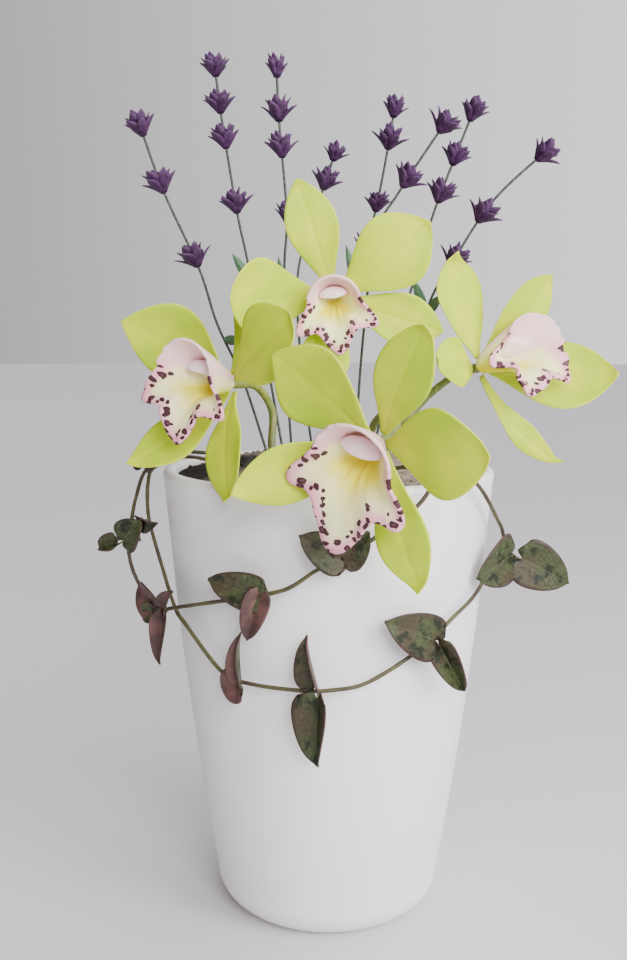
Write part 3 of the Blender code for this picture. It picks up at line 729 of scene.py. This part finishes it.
def lip_frame(place, lip):
    """The bloom's frame turned right and up about the lip's root."""
    right, up = lip.turn
    root = Matrix.Translation((0, 0, LIP_START * lip.scale))
    turn = Matrix.Rotation(math.radians(right), 4, "Y") @ Matrix.Rotation(math.radians(-up), 4, "X")
    return place @ root @ turn @ root.inverted()


def leaned(point, lip):
    """Moved sideways as the lip leans, more towards its mouth, and brought to the lip's size."""
    share = max(point.z - LIP_START, 0) / (lip.depth * MM)
    return point * lip.scale + Vector((*lip.lean, 0)) * MM * share ** 1.5


print("lips of", LIP_SIDES, "x", LIP_RINGS, "faces")

# %% [markdown]
# The blotches sit along the margin only. A cell pattern on the lip's own map gives them uneven
# sizes and shapes, and the distance to the edge makes them shrink and vanish inwards. The large
# ones have a paler middle.

# %% Pink finish with blotches
pink, start, fill = new_finish(
    "spotted_lip", 0.5, Subsurface_Weight=0.12, Subsurface_Scale=0.003, Subsurface_Radius=(1.0, 0.7, 0.5),
    Specular_IOR_Level=0.3,
)
plan = surface_place(start)
where = object_place(start)
spread = start.node("ShaderNodeAttribute", {}, output=1, attribute_name="lip_place")
depth, edge, down = (spread.part(index) for index in range(3))
warp = start.node("ShaderNodeTexNoise", {"Vector": plan, "Scale": 3.2, "Detail": 2.0}, output=1)
shift = start.node("ShaderNodeVectorMath", {0: warp, 3: 0.30}, operation="SCALE")
bent = start.node("ShaderNodeVectorMath", {0: plan, 1: shift}, operation="ADD")
cells = start.node("ShaderNodeTexVoronoi", {"Vector": bent, "Scale": 3.0}, voronoi_dimensions="2D")
cell_colour = Shade(start.tree, cells.socket.node.outputs[1])
chance, presence = cell_colour.part(0), cell_colour.part(1)
band = edge.ramp(0.20, 0.50) * down.ramp(0.42, 0.58)
size = (0.25 + chance * 0.20) * presence.ramp(0.03, 0.10) * band
blotch = (size - cells).ramp(0.0, 0.045)
heart = (size * 0.42 - cells).ramp(-0.02, 0.05) * chance.ramp(0.6, 0.75)
cloud = start.speckle(where, 90, 3)
colour = edge.ramp(0.2, 0.85).mix((0.94, 0.92, 0.44), (0.88, 0.38, 0.46))
colour = down.ramp(0.55, 0.30).mix(colour, (0.90, 0.58, 0.58))
colour = (cloud.ramp(0.4, 0.7) * 0.25).mix(colour, (0.88, 0.70, 0.70))
throat = depth.ramp(0.86, 0.50) * down.ramp(0.55, 0.88)
colour = throat.mix(colour, (0.88, 0.78, 0.01))
colour = (blotch * 0.98).mix(colour, (0.032, 0.003, 0.011))
colour = (heart * blotch * 0.4).mix(colour, (0.24, 0.09, 0.12))
fill(colour, cloud - blotch * 0.3, strength=0.35, rough=0.44 + cloud * 0.12)
print(len(start.tree.nodes), "nodes in the pink finish")


# %% One frilled lip
def grow_lip(node, place, lip, wave):
    profile = [(0, LIP_START)]
    for ring in range(LIP_RINGS + 1):
        share = ring / LIP_RINGS
        radius = LIP_ROOT_RADIUS + (LIP_MOUTH_RADIUS - LIP_ROOT_RADIUS) * share ** 0.85
        profile.append((radius, LIP_START + lip.depth * MM * share))
    bm = spun(profile, LIP_SIDES)
    spread = bm.verts.layers.float_vector.new("lip_place")
    plan = bm.verts.layers.float_vector.new("sheet_place")
    for vert in bm.verts:
        share = (vert.co.z - LIP_START) / (lip.depth * MM)
        angle = (math.degrees(math.atan2(vert.co.x, -vert.co.y)) + 180) % 360 - 180
        reach = lobe_reach(angle, lip.middle_lobe * MM)
        flare = reach * share ** 4
        near = max(0, share - 0.72) / 0.28
        low = max(0, math.cos(math.radians(angle) * 0.62)) ** 0.5
        crinkle = math.sin(angle * 0.24 + wave) + 0.5 * math.sin(angle * 0.45 + 2.3 * wave)
        frill = FRILL * near ** 1.6 * low * crinkle
        keel = sum(math.exp(-(((angle - side) / 5.0) ** 2)) for side in (-13, 13))
        keel *= KEEL_HEIGHT * math.exp(-(((share - 0.5) / 0.2) ** 2))
        out = vert.co.xy.normalized()
        vert[plan] = (*((vert.co.xy + out * flare) * 100), 0)
        left = math.hypot(reach * (1 - share ** 4), lip.depth * MM * (1 - share))
        vert[spread] = (share, max(0, 1 - left / (9 * MM)), (1 + math.cos(math.radians(angle))) / 2)
        vert.co.xy += out * (flare - keel + 0.4 * frill)
        vert.co.z += frill - 0.2 * flare * share - 1.2 * MM * near ** 2 * low
        vert.co = place @ leaned(vert.co, lip)
    write_plan(bm, plan)
    stand_for(node, "frilled", bm, "pink_lip", pink, thickness=LIP_WALL)


# %% Four lips
for wave, (bloom_name, bloom) in enumerate(BLOOMS.items()):
    grow_lip(f"{bloom_name}_lip", lip_frame(bloom_frame(bloom), bloom.lip), bloom.lip, wave)

# %% [markdown]
# ## Columns
# Above the throat arches the column, a blunt thumb that carries the pollen under its tip. It is a
# row of rings, domed on top and flatter below, that closes in a round nose.

# %% Column finish
blush, start, fill = new_finish(
    "blush_column", 0.42, Subsurface_Weight=0.12, Subsurface_Scale=0.003,
)
where = object_place(start)
cloud = start.speckle(where, 130, 3)
colour = cloud.ramp(0.35, 0.7).mix((0.94, 0.68, 0.71), (0.95, 0.80, 0.80))
fill(colour, cloud, strength=0.3, rough=0.36 + cloud * 0.14)


# %% Hooded columns
COLUMN_ROOT = 2.4 * MM
COLUMN_WIDTH = 15.5 * MM
COLUMN_HEIGHT = 8.8 * MM
COLUMN_LIFT = 0.26
COLUMN_REACH = 0.70
COLUMN_RINGS = 22
COLUMN_SIDES = 40


def grow_column(node, place, lip):
    bm = bmesh.new()
    root = LIP_START + LIP_WALL / 2 / lip.scale + 3 * FIT_GAP
    last = None
    for ring in range(COLUMN_RINGS + 1):
        share = ring / COLUMN_RINGS
        nose = max(0, (share - 0.6) / 0.4)
        close = max(1 - nose ** 2.6, 0.01) ** 0.5
        width = (COLUMN_ROOT + (COLUMN_WIDTH - COLUMN_ROOT) * min(share / 0.8, 1)) * close
        height = (COLUMN_ROOT + (COLUMN_HEIGHT - COLUMN_ROOT) * min(share / 0.8, 1) ** 0.8) * close
        lift = (COLUMN_LIFT + 0.1 * min(share / 0.6, 1) - 0.24 * nose ** 2) * COLUMN_HEIGHT * share
        verts = bmesh.ops.create_circle(bm, segments=COLUMN_SIDES, radius=0.5)["verts"]
        for vert in verts:
            if vert.co.y < 0:
                vert.co.y *= 0.4
        bmesh.ops.scale(bm, verts=verts, vec=(width, height, 1))
        forward = root + COLUMN_REACH * lip.depth * MM * share
        bmesh.ops.translate(bm, verts=verts, vec=(0, lift, forward))
        edges = list({edge for vert in verts for edge in vert.link_edges})
        if last:
            bmesh.ops.bridge_loops(bm, edges=last + edges)
        else:
            bottom = edges
        last = edges
    bmesh.ops.holes_fill(bm, edges=bottom + last, sides=0)
    bmesh.ops.recalc_face_normals(bm, faces=bm.faces)
    for vert in bm.verts:
        vert.co = place @ leaned(vert.co, lip)
    stand_for(node, "hooded", bm, "pink_column", blush)


for bloom_name, bloom in BLOOMS.items():
    grow_column(f"{bloom_name}_column", lip_frame(bloom_frame(bloom), bloom.lip), bloom.lip)

# %% [markdown]
# ## Orchid stems
# Each bloom hangs on an arching stem that swells into the ribbed ovary behind the flower. A circle
# extruded along a smooth route follows any bend, and its radius changes from point to point.

# %% Stem finishes
stem_green, start, fill = new_finish("orchid_stem", 0.45, Coat_Weight=0.1)
where = object_place(start)
tall = where.part(2)
stripe = start.node("ShaderNodeMapping", {0: where, 3: (900, 900, 60)})
stripe = start.speckle(stripe, 1.0, 3)
colour = stripe.ramp(0.35, 0.65).mix((0.13, 0.17, 0.025), (0.26, 0.30, 0.05))
colour = (tall.ramp(0.215, 0.185) * 0.75).mix(colour, (0.07, 0.075, 0.03))
fill(colour, stripe, rough=0.4 + stripe * 0.2)

wire_green, start, fill = new_finish("sprig_stem", 0.6)
where = object_place(start)
stripe = start.speckle(where, 700, 3)
fill(stripe.ramp(0.35, 0.7).mix((0.018, 0.026, 0.020), (0.06, 0.075, 0.05)), stripe, depth=0.0001)

# %% Four orchid stems
ORCHID_STEM_RADIUS = 1.45 * MM
OVARY_RADIUS = 1.9 * MM
OVARY_LENGTH = 11 * MM

for name, bloom in BLOOMS.items():
    place = bloom_frame(bloom)
    root, *waypoints = bloom.stem
    tip = place @ Vector((0, 0, LIP_START * bloom.lip.scale - LIP_WALL / 2 - 3 * FIT_GAP))
    back = place @ Vector((0, 0, -OVARY_LENGTH))
    route = planted_route(root, [*(planted(point) for point in waypoints), back, tip], 9)
    swell = [max(0, 1 - (point - tip).length / OVARY_LENGTH) for point in route]
    radii = [ORCHID_STEM_RADIUS + (OVARY_RADIUS - ORCHID_STEM_RADIUS) * share ** 0.7 for share in swell]
    bm = bmesh.new()
    add_rod(bm, route, radii, 20)
    stand_for(f"{name}_stem", "smooth", bm, "orchid_stem", stem_green)

# %% [markdown]
# ## Lavender
# A whorl is a cup of three rings of pointed petals on a thin dark stem. Each petal is a small grid
# with a wall, bent outwards. The outer ring opens widest. There are hundreds of petals, so each
# has only a few dozen faces.

# %% Dusty purple finish
purple, start, fill = new_finish("lavender_petal", 0.72, Specular_IOR_Level=0.25)
along, across = along_and_across(start)
where = object_place(start)
dust = start.speckle(where, 420, 2)
colour = dust.ramp(0.32, 0.68).mix((0.030, 0.006, 0.038), (0.070, 0.024, 0.082))
colour = (along.ramp(0.45, 1.0) * 0.5).mix(colour, (0.12, 0.06, 0.14))
rib = start.math("ABSOLUTE", across - 0.5).ramp(0.12, 0.0)
colour = (rib * 0.5).mix(colour, (0.025, 0.008, 0.032))
fill(colour, dust * 0.5 - rib * 0.6, strength=0.3, rough=0.58 + dust * 0.2)

# %% Sprig numbers
SPRIG_RADIUS = 0.55 * MM
WHORL_CORE = 1.0 * MM
WHORL_SPREAD = 1.30
WHORL_RISE = 1.08
PETAL_WALL = 0.35 * MM
PETAL_RINGS = ((6, 1.18, 0.72, 0), (5, 0.82, 0.98, 25), (3, 0.36, 1.06, 10))

Sprig = namedtuple("Sprig", "route whorls")
SPRIGS = {
    "lavender_sprig_1": Sprig(
        route=((-24, -8), (-34, 2, 34), (-45, 12, 56), (-52, 12, 78), (-66, 12, 109), (-76, 12, 138)),
        whorls=((83, 5.0, 9), (112, 5.0, 9), (134, 4.6, 9)),
    ),
    "lavender_sprig_2": Sprig(
        route=((-18, -4), (-26, 14, 46), (-34, 30, 83), (-38, 30, 102), (-44, 30, 140), (-47, 30, 164)),
        whorls=((106, 5.0, 9), (132, 4.6, 9), (146, 5.0, 9), (160, 4.4, 8)),
    ),
    "lavender_sprig_3": Sprig(
        route=((-15, 9), (-18, 16, 48), (-18, 20, 80), (-17, 20, 100), (-20, 20, 138), (-21, 20, 163)),
        whorls=((101, 3.2, 8), (127, 4.8, 9), (141, 4.8, 9), (158, 3.0, 9)),
    ),
    "lavender_sprig_4": Sprig(
        route=((-7, 20), (-12, 34, 44), (-13, 45, 79), (-4, 45, 108), (0, 45, 120), (4, 45, 131)),
        whorls=((117, 4.8, 9), (128, 3.6, 7)),
    ),
    "lavender_sprig_5": Sprig(
        route=((5, 24), (8, 32, 44), (14, 40, 82), (20, 40, 104), (25, 40, 130), (28, 40, 149)),
        whorls=((90, 4.2, 8), (107, 4.0, 8), (133, 4.8, 9), (145.5, 3.8, 8)),
    ),
    "lavender_sprig_6": Sprig(
        route=((11, 8), (14, 12, 50), (19, 15, 91), (28, 15, 108), (40, 15, 126), (49, 15, 139)),
        whorls=((114, 5.0, 9), (135, 5.0, 9)),
    ),
    "lavender_sprig_7": Sprig(
        route=((19, 14), (27, 24, 40), (35, 30, 72), (43, 30, 100), (52, 30, 124), (61, 30, 147)),
        whorls=((110, 4.8, 9), (125, 4.6, 9), (142.5, 4.4, 9)),
    ),
    "lavender_sprig_8": Sprig(
        route=((29, 6), (34, 14, 36), (41, 18, 64), (51, 18, 82), (67, 18, 106), (91, 18, 128)),
        whorls=((83, 4.8, 9), (100.5, 5.0, 9), (124, 4.8, 9)),
    ),
}


def sprig_route(sprig, steps):
    root, *waypoints = sprig.route
    return planted_route(root, [planted(point) for point in waypoints], steps)


def point_at(route, height):
    """The point of a rising route at a height above the rim, in millimetres, and the way it runs."""
    level = POT_HEIGHT + height * MM
    for lower, upper in zip(route, route[1:]):
        if upper.z >= level:
            return lower.lerp(upper, (level - lower.z) / (upper.z - lower.z)), (upper - lower).normalized()
    return route[-1], (route[-1] - route[-2]).normalized()


print(sum(len(sprig.whorls) for sprig in SPRIGS.values()), "whorls")


# %% One whorl
def add_whorl(bm, plan, middle, way, radius, length, draws):
    """Three rings of petals that open from a point on the stem."""
    turn = Vector((0, 0, 1)).rotation_difference(way).to_matrix().to_4x4()
    base = Matrix.Translation(middle - way * length * 0.5) @ turn
    for count, spread, tall, offset in PETAL_RINGS:
        for number in range(count):
            heading = offset + 360 * number / count + draws.uniform(-12, 12)
            around = Matrix.Rotation(math.radians(heading), 4, "Z")
            open_out = spread * draws.uniform(0.85, 1.15)
            rise = tall * draws.uniform(0.88, 1.08)
            wide = radius * draws.uniform(0.68, 0.86)

            def petal_point(share, across):
                body = math.sin(math.pi * min(share, 0.999) ** 1.45) ** 0.65
                half = wide / 2 * (0.3 * (1 - share) + body) + 0.08 * MM
                out = WHORL_CORE + (radius * WHORL_SPREAD - WHORL_CORE) * open_out * share ** 1.1
                cup = 0.45 * half * across * across
                height = WHORL_RISE * length * rise * (share - 0.10 * open_out * share ** 3)
                return base @ around @ Vector((out - cup, half * across, height))

            add_sheet(bm, plan, 6, 3, petal_point)


# %% Eight sprigs
def grow_sprig(node, sprig, seed):
    draws = random.Random(seed)
    bm, plan = start_sheets()
    route = sprig_route(sprig, 7)
    for height, radius, length in sprig.whorls:
        middle, way = point_at(route, height)
        add_whorl(bm, plan, middle, way, radius * MM, length * MM, draws)
    thicken(bm, bm.faces[:], PETAL_WALL)
    top = point_at(route, sprig.whorls[-1][0])[0]
    stem = [point for point in route if point.z < top.z] + [top]
    add_rod(bm, stem, [SPRIG_RADIUS] * len(stem), 10, material=1)
    for height, radius, length in sprig.whorls:
        middle, way = point_at(route, height)
        low = middle - way * length * MM * 0.56
        cup = [low, low + way * 1.2 * MM, low + way * 2.6 * MM, low + way * 3.6 * MM]
        add_rod(bm, cup, [SPRIG_RADIUS, 1.35 * MM, 1.5 * MM, 0.7 * MM], 10)
    write_plan(bm, plan)
    stand_for(node, "petalled", bm, "lavender", purple, wire_green)


for seed, (name, sprig) in enumerate(SPRIGS.items()):
    grow_sprig(name, sprig, seed)

# %% [markdown]
# ## Sprig leaves
# A few narrow leaves stand off the sprigs. They are small grids with a folded middle, and a
# blue-green finish with a paler rib.

# %% Teal leaves
SPRIG_LEAF_STALK = 0.8 * MM
SPRIG_LEAF_WIDTH = 4.4 * MM
SPRIG_LEAF_BEND = 2 * MM
SPRIG_LEAF_THICKNESS = 0.8 * MM
SPRIG_LEAF_WALL = 0.4 * MM
SPRIG_LEAVES = {
    "sprig_1_leaf": ("lavender_sprig_1", 50, ((8, -1),)),
    "sprig_2_leaf": ("lavender_sprig_2", 73, ((-8, 12),)),
    "sprig_3_leaf": ("lavender_sprig_3", 66, ((-2, 17),)),
    "sprig_5_leaf": ("lavender_sprig_5", 72, ((-5, 17),)),
    "sprig_8_leaves": ("lavender_sprig_8", 60, ((-6, 15), (6, 8))),
}

teal, start, fill = new_finish("teal_leaf", 0.5, Subsurface_Weight=0.1, Subsurface_Scale=0.003)
along, across = along_and_across(start)
rib = start.math("ABSOLUTE", across - 0.5).ramp(0.10, 0.0)
cloud = start.speckle(object_place(start), 300, 3)
colour = cloud.ramp(0.35, 0.7).mix((0.035, 0.115, 0.060), (0.085, 0.20, 0.10))
colour = (rib * 0.5).mix(colour, (0.16, 0.28, 0.13))
fill(colour, cloud - rib, rough=0.45 + cloud * 0.15)

for node, (sprig, height, tips) in SPRIG_LEAVES.items():
    begin = point_at(sprig_route(SPRIGS[sprig], 3), height)[0]
    gap = SPRIG_RADIUS + 4 * FIT_GAP + SPRIG_LEAF_THICKNESS / 2
    bm, plan = start_sheets()
    for reach in tips:
        reach = Vector((reach[0], 0, reach[1])) * MM
        side = Vector((-reach.z, 0, reach.x)).normalized()

        def leaf_point(share, across):
            body = math.sin(math.pi * min(share, 0.99) ** 0.8)
            half = (SPRIG_LEAF_STALK * (1 - share) + (SPRIG_LEAF_WIDTH - SPRIG_LEAF_STALK) * body) / 2
            forward = gap + SPRIG_LEAF_BEND * share ** 2 - 0.35 * half * abs(across)
            return begin + reach * share + side * across * half + Vector((0, -forward, 0))

        add_sheet(bm, plan, 18, 8, leaf_point)
    thicken(bm, bm.faces[:], SPRIG_LEAF_WALL, Vector((0, -1, 0)))
    write_plan(bm, plan)
    stand_for(node, "folded", bm, "lavender_leaf", teal)

# %% [markdown]
# ## Vines
# Two thin stems trail over the rim. They are rods on the same smooth routes as their solids. Their
# thickness wavers a little, as a grown stem's does, and they are brown-green with fine streaks.

# %% Vine stems
VINE_RADIUS = 0.75 * MM
VINES = {
    "long_vine": (
        (-86, -2, -20), (-87, -3.5, -12), (-88, -3, -4), (-87, 1, 4.5), (-82, 6, 6.5), (-80, 14, 7.5),
        (-80, 22, 7.3), (-72, 38, 5), (-61, 50.5, 5), (-54, 55, 5), (-37, 69, 5), (-26, 71.5, 5),
        (-9, 72, 5), (2, 71.5, 5), (13, 69, 5), (30, 59, 5), (44, 49, 5), (55, 43, 5), (72, 34, 5),
        (80, 30, 7), (76, 23, 6), (68, 17, 5), (53, 4, 5), (46, -3, 3), (42, -5, -4), (40, -4, -12),
    ),
    "short_vine": (
        (-104, -3, -18), (-101, -4, -10), (-97, -4, -2), (-92, 2, 8), (-85, 12, 12), (-80, 21, 14.6),
        (-79, 30, 16.7), (-79, 40, 16), (-79, 51, 12), (-74, 55, 9), (-57, 49, 8.5), (-42, 44, 6),
        (-29, 40, 5), (-13, 35, 5), (-4, 28, 5), (2, 24, 5), (10.5, 18.5, 5), (25, 7, 5),
        (31, -2, 4), (30, -6, -5), (27, -5, -14),
    ),
}

bark, start, fill = new_finish("vine_stem", 0.6)
where = object_place(start)
streak = start.speckle(where, 500, 4, 0.6)
cloud = start.speckle(where, 60, 2)
colour = cloud.ramp(0.4, 0.62).mix((0.046, 0.028, 0.016), (0.082, 0.078, 0.022))
colour = (streak.ramp(0.35, 0.7) * 0.6).mix(colour, (0.028, 0.018, 0.012))
fill(colour, streak, strength=0.6, rough=0.5 + streak * 0.2)


def vine_points(route, steps):
    """Each end stands straight up out of the mix, and the rest hangs on the pot."""
    placed = smooth_route([on_pot(angle, drop * MM, out * MM) for angle, drop, out in route], steps)
    first, last = placed[0].copy(), placed[-1].copy()
    first.z = last.z = POT_HEIGHT - STEM_DEPTH
    return [first, *placed, last]


for name, route in VINES.items():
    points = vine_points(route, 9)
    radii = [VINE_RADIUS * (1 + 0.12 * noise.noise(point * 260)) for point in points]
    bm = bmesh.new()
    add_rod(bm, points, radii, 14)
    stand_for(name, "streaked", bm, "vine", bark)

# %% [markdown]
# ## Heart leaves
# The vine carries its leaves in pairs. A leaf is a heart on a thin stalk, dark green patches on
# grey green above and purple-brown below. Many are folded along the middle or turned over, so each
# has its own fold, and the side that shows is the side that its face points to. Some leaves in the
# shade at the left show the purple-brown underside finish as painted shade.

# %% Heart leaf finishes
leaf_top, start, fill = new_finish("leaf_top", 0.4, Specular_IOR_Level=0.28)
along, across = along_and_across(start)
where = object_place(start)
patch = start.speckle(where, 190, 4, 0.6)
mottle = start.speckle(where, 900, 3)
middle = start.math("ABSOLUTE", across - 0.5)
colour = mottle.ramp(0.3, 0.75).mix((0.027, 0.036, 0.012), (0.058, 0.072, 0.028))
drift = start.speckle(where, 70, 2)
colour = (drift.ramp(0.42, 0.62) * 0.7).mix(colour, (0.050, 0.032, 0.020))
colour = (patch.ramp(0.50, 0.62) * 0.9).mix(colour, (0.005, 0.010, 0.003))
colour = (mottle.ramp(0.60, 0.74) * patch.ramp(0.44, 0.36) * 0.45).mix(colour, (0.19, 0.20, 0.125))
colour = ((patch * 0.12 + middle).ramp(0.45, 0.56) * 0.8).mix(colour, (0.045, 0.022, 0.018))
colour = (middle.ramp(0.02, 0.0) * 0.3).mix(colour, (0.13, 0.13, 0.075))
fill(colour, mottle + patch, depth=0.0003, rough=0.34 + mottle * 0.18)

leaf_under, start, fill = new_finish("leaf_underside", 0.55)
where = object_place(start)
cloud = start.speckle(where, 160, 4)
fine = start.speckle(where, 1100, 2)
colour = cloud.ramp(0.35, 0.65).mix((0.034, 0.012, 0.011), (0.105, 0.043, 0.036))
colour = (fine.ramp(0.5, 0.75) * 0.4).mix(colour, (0.055, 0.040, 0.030))
fill(colour, cloud + fine * 0.4, rough=0.5 + cloud * 0.15)

# %% Leaf numbers
# Each leaf: the way it faces, its tip right of and below the vine's node, its bare stalk, its
# width, how far its halves fold together and how far it is rolled about its middle, in degrees,
# and whether its underside finish shows: the real underside where a leaf is turned over, and
# painted shade on some leaves in the shade at the left.
PETIOLE_RADIUS = 0.38 * MM
VINE_LEAF_THICKNESS = 0.8 * MM
BLADE_WALL = 0.5 * MM
BLADE_FULLNESS = 1.12

Leaf = namedtuple("Leaf", "facing tip stalk width fold roll under", defaults=(0, False))
LEAF_PAIRS = {
    "leaf_pair_mouth": ((-88, -1, 5), Leaf(-50, (12, -4), 1, 7, 15), Leaf(-50, (-9, -1), 2, 6, 50, 0, True)),
    "leaf_pair_shoulder": ((-80, 20, 7.6), Leaf(-60, (15, -1), 1, 8, 50, 25), Leaf(-60, (-4, 9), 1, 6, 35)),
    "leaf_pair_loop": ((-79, 28, 16.7), Leaf(-30, (-12, 4), 3, 8, 55, 25), Leaf(-30, (10, -9), 1, 11, 12)),
    "leaf_pair_crossing": (
        (-66, 52, 9), Leaf(-50, (-12, -9), 1, 11, 20, 0, True),
        Leaf(-45, (-9, 4), 1, 7, 30),
    ),
    "leaf_pair_hanging": (
        (-58, 50, 8.6), Leaf(-55, (-5, 22), 2, 8, 58, -25, True),
        Leaf(-55, (7, -9), 1, 8, 45, 0, True),
    ),
    "leaf_pair_left": (
        (-20, 37, 5), Leaf(-22, (-20, -4), 0, 11.5, 12),
        Leaf(-22, (-5, 17), 0, 8.5, 28, -10, True),
    ),
    "leaf_pair_low_left": (
        (-28, 71, 5), Leaf(-30, (0, -19), 1, 8, 60, -20, True),
        Leaf(-30, (-9, 3), 1, 11, 15, 0, True),
    ),
    "leaf_pair_bottom": ((-3, 72, 5), Leaf(-3, (-4, -21), 4, 11, 55, -45), Leaf(-3, (0, 27), 3, 15, 48, 35)),
    "leaf_pair_low_right": ((35, 56, 5), Leaf(30, (-22, -10), 1, 14, 12), Leaf(30, (13, 21), 2, 10, 52, 30)),
    "leaf_pair_right": ((76, 32, 9), Leaf(47, (-24, 6), 2, 16, 6), Leaf(12, (24, 13), 5, 15.5, 8)),
    "leaf_pair_high": ((4, 22.5, 5), Leaf(4, (-15, -8), 0, 12, 18), Leaf(4, (9, -9), 0, 11, 18)),
}


# %% One leaf on its stalk
def heart_half(share):
    """Half a heart's width along it, from its notch to its tip, as a share of its broadest."""
    body = math.sin(math.pi * min(share, 0.999) ** 0.62) ** 0.64
    return max((0.42 * (1 - share) ** 4 + body) * (1 - share ** 16), 0.02)


def add_leaf(bm, plan, node, leaf, wave):
    turn = math.radians(leaf.facing)
    outward = Vector((math.sin(turn), -math.cos(turn), 0))
    rightward = Vector((math.cos(turn), math.sin(turn), 0))
    reach = (rightward * leaf.tip[0] - Vector((0, 0, leaf.tip[1]))) * MM
    ahead = reach.normalized()
    joint = node + ahead * leaf.stalk * MM + outward * 0.6 * MM
    bend = node + ahead * leaf.stalk * 0.5 * MM + outward * 0.9 * MM + Vector((0, 0, -0.6 * MM))
    length = reach.length - leaf.stalk * MM
    roll = Matrix.Rotation(math.radians(leaf.roll), 3, ahead)
    front = roll @ outward
    side = front.cross(ahead)
    half_width = leaf.width * MM / 2 * BLADE_FULLNESS
    fold = math.radians(leaf.fold)

    def blade_point(share, across):
        half = half_width * heart_half(share) * abs(across)
        bent = fold * (0.7 + 0.3 * share)
        back = 0.17 * (1 - share) ** 3 * math.sin(0.75 * math.pi * abs(across)) * length
        rise = half * math.sin(bent) + 1.5 * MM * share - 1.6 * MM * share ** 4
        rise += 0.35 * MM * math.sin(5 * share + wave) * across ** 2
        wide = math.copysign(half * math.cos(bent), across)
        return joint + ahead * (length * share - back) + side * wide + front * rise

    shown = add_sheet(bm, plan, 20, 14, blade_point)
    hidden = thicken(bm, shown, BLADE_WALL, front)
    # The shown side takes the purple-brown underside finish where a leaf is turned over, and as painted
    # shade on some shaded leaves.
    for face in shown:
        face.material_index = 2 if leaf.under else 1
    for face in hidden:
        face.material_index = 1 if leaf.under else 2
    stalk = smooth_route([node - outward * 0.9 * MM, bend, joint], 5)
    add_rod(bm, stalk, [PETIOLE_RADIUS] * len(stalk), 8)


# %% Eleven pairs
for wave, (name, ((angle, drop, out), *leaves)) in enumerate(LEAF_PAIRS.items()):
    clear = out * MM + VINE_RADIUS + 2 * FIT_GAP + VINE_LEAF_THICKNESS / 2
    node = on_pot(angle, drop * MM, clear)
    bm, plan = start_sheets()
    for number, leaf in enumerate(leaves):
        add_leaf(bm, plan, node, leaf, 2 * wave + number)
    write_plan(bm, plan)
    stand_for(name, "heart", bm, "vine_leaf", bark, leaf_top, leaf_under)

# %% [markdown]
# ## Floor
# The floor is part of the picture and not of the plant, so it is marked as stage.

# %% Pale floor
FLOOR_RADIUS = 6.0
pale, start, fill = new_finish("pale_floor", 0.85)
far = start.node("ShaderNodeVectorMath", {0: object_place(start)}, output=1, operation="LENGTH")
fill(far.ramp(0.3, 2.5).mix((0.66, 0.64, 0.66), (0.84, 0.83, 0.86)))
bm = bmesh.new()
bmesh.ops.create_circle(bm, cap_ends=True, segments=96, radius=FLOOR_RADIUS)
mesh = bpy.data.meshes.new("pale_floor")
bm.to_mesh(mesh)
bm.free()
mesh.materials.append(pale)
floor = bpy.data.objects.new("pale_floor", mesh)
bpy.context.scene.collection.objects.link(floor)
floor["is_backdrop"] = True

# %% [markdown]
# ## Size
# Both boxes, the solids' and the finer plant's, are printed together. The finer plant has to
# stay in the box of the solids.

# %% Print both boxes
looks_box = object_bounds()
sizes = {"cad": [list(corner) for corner in cad_box], "looks": [list(corner) for corner in looks_box]}
for which, (low, high) in sizes.items():
    print(which, [round(a / MM, 1) for a in low], [round(a / MM, 1) for a in high])
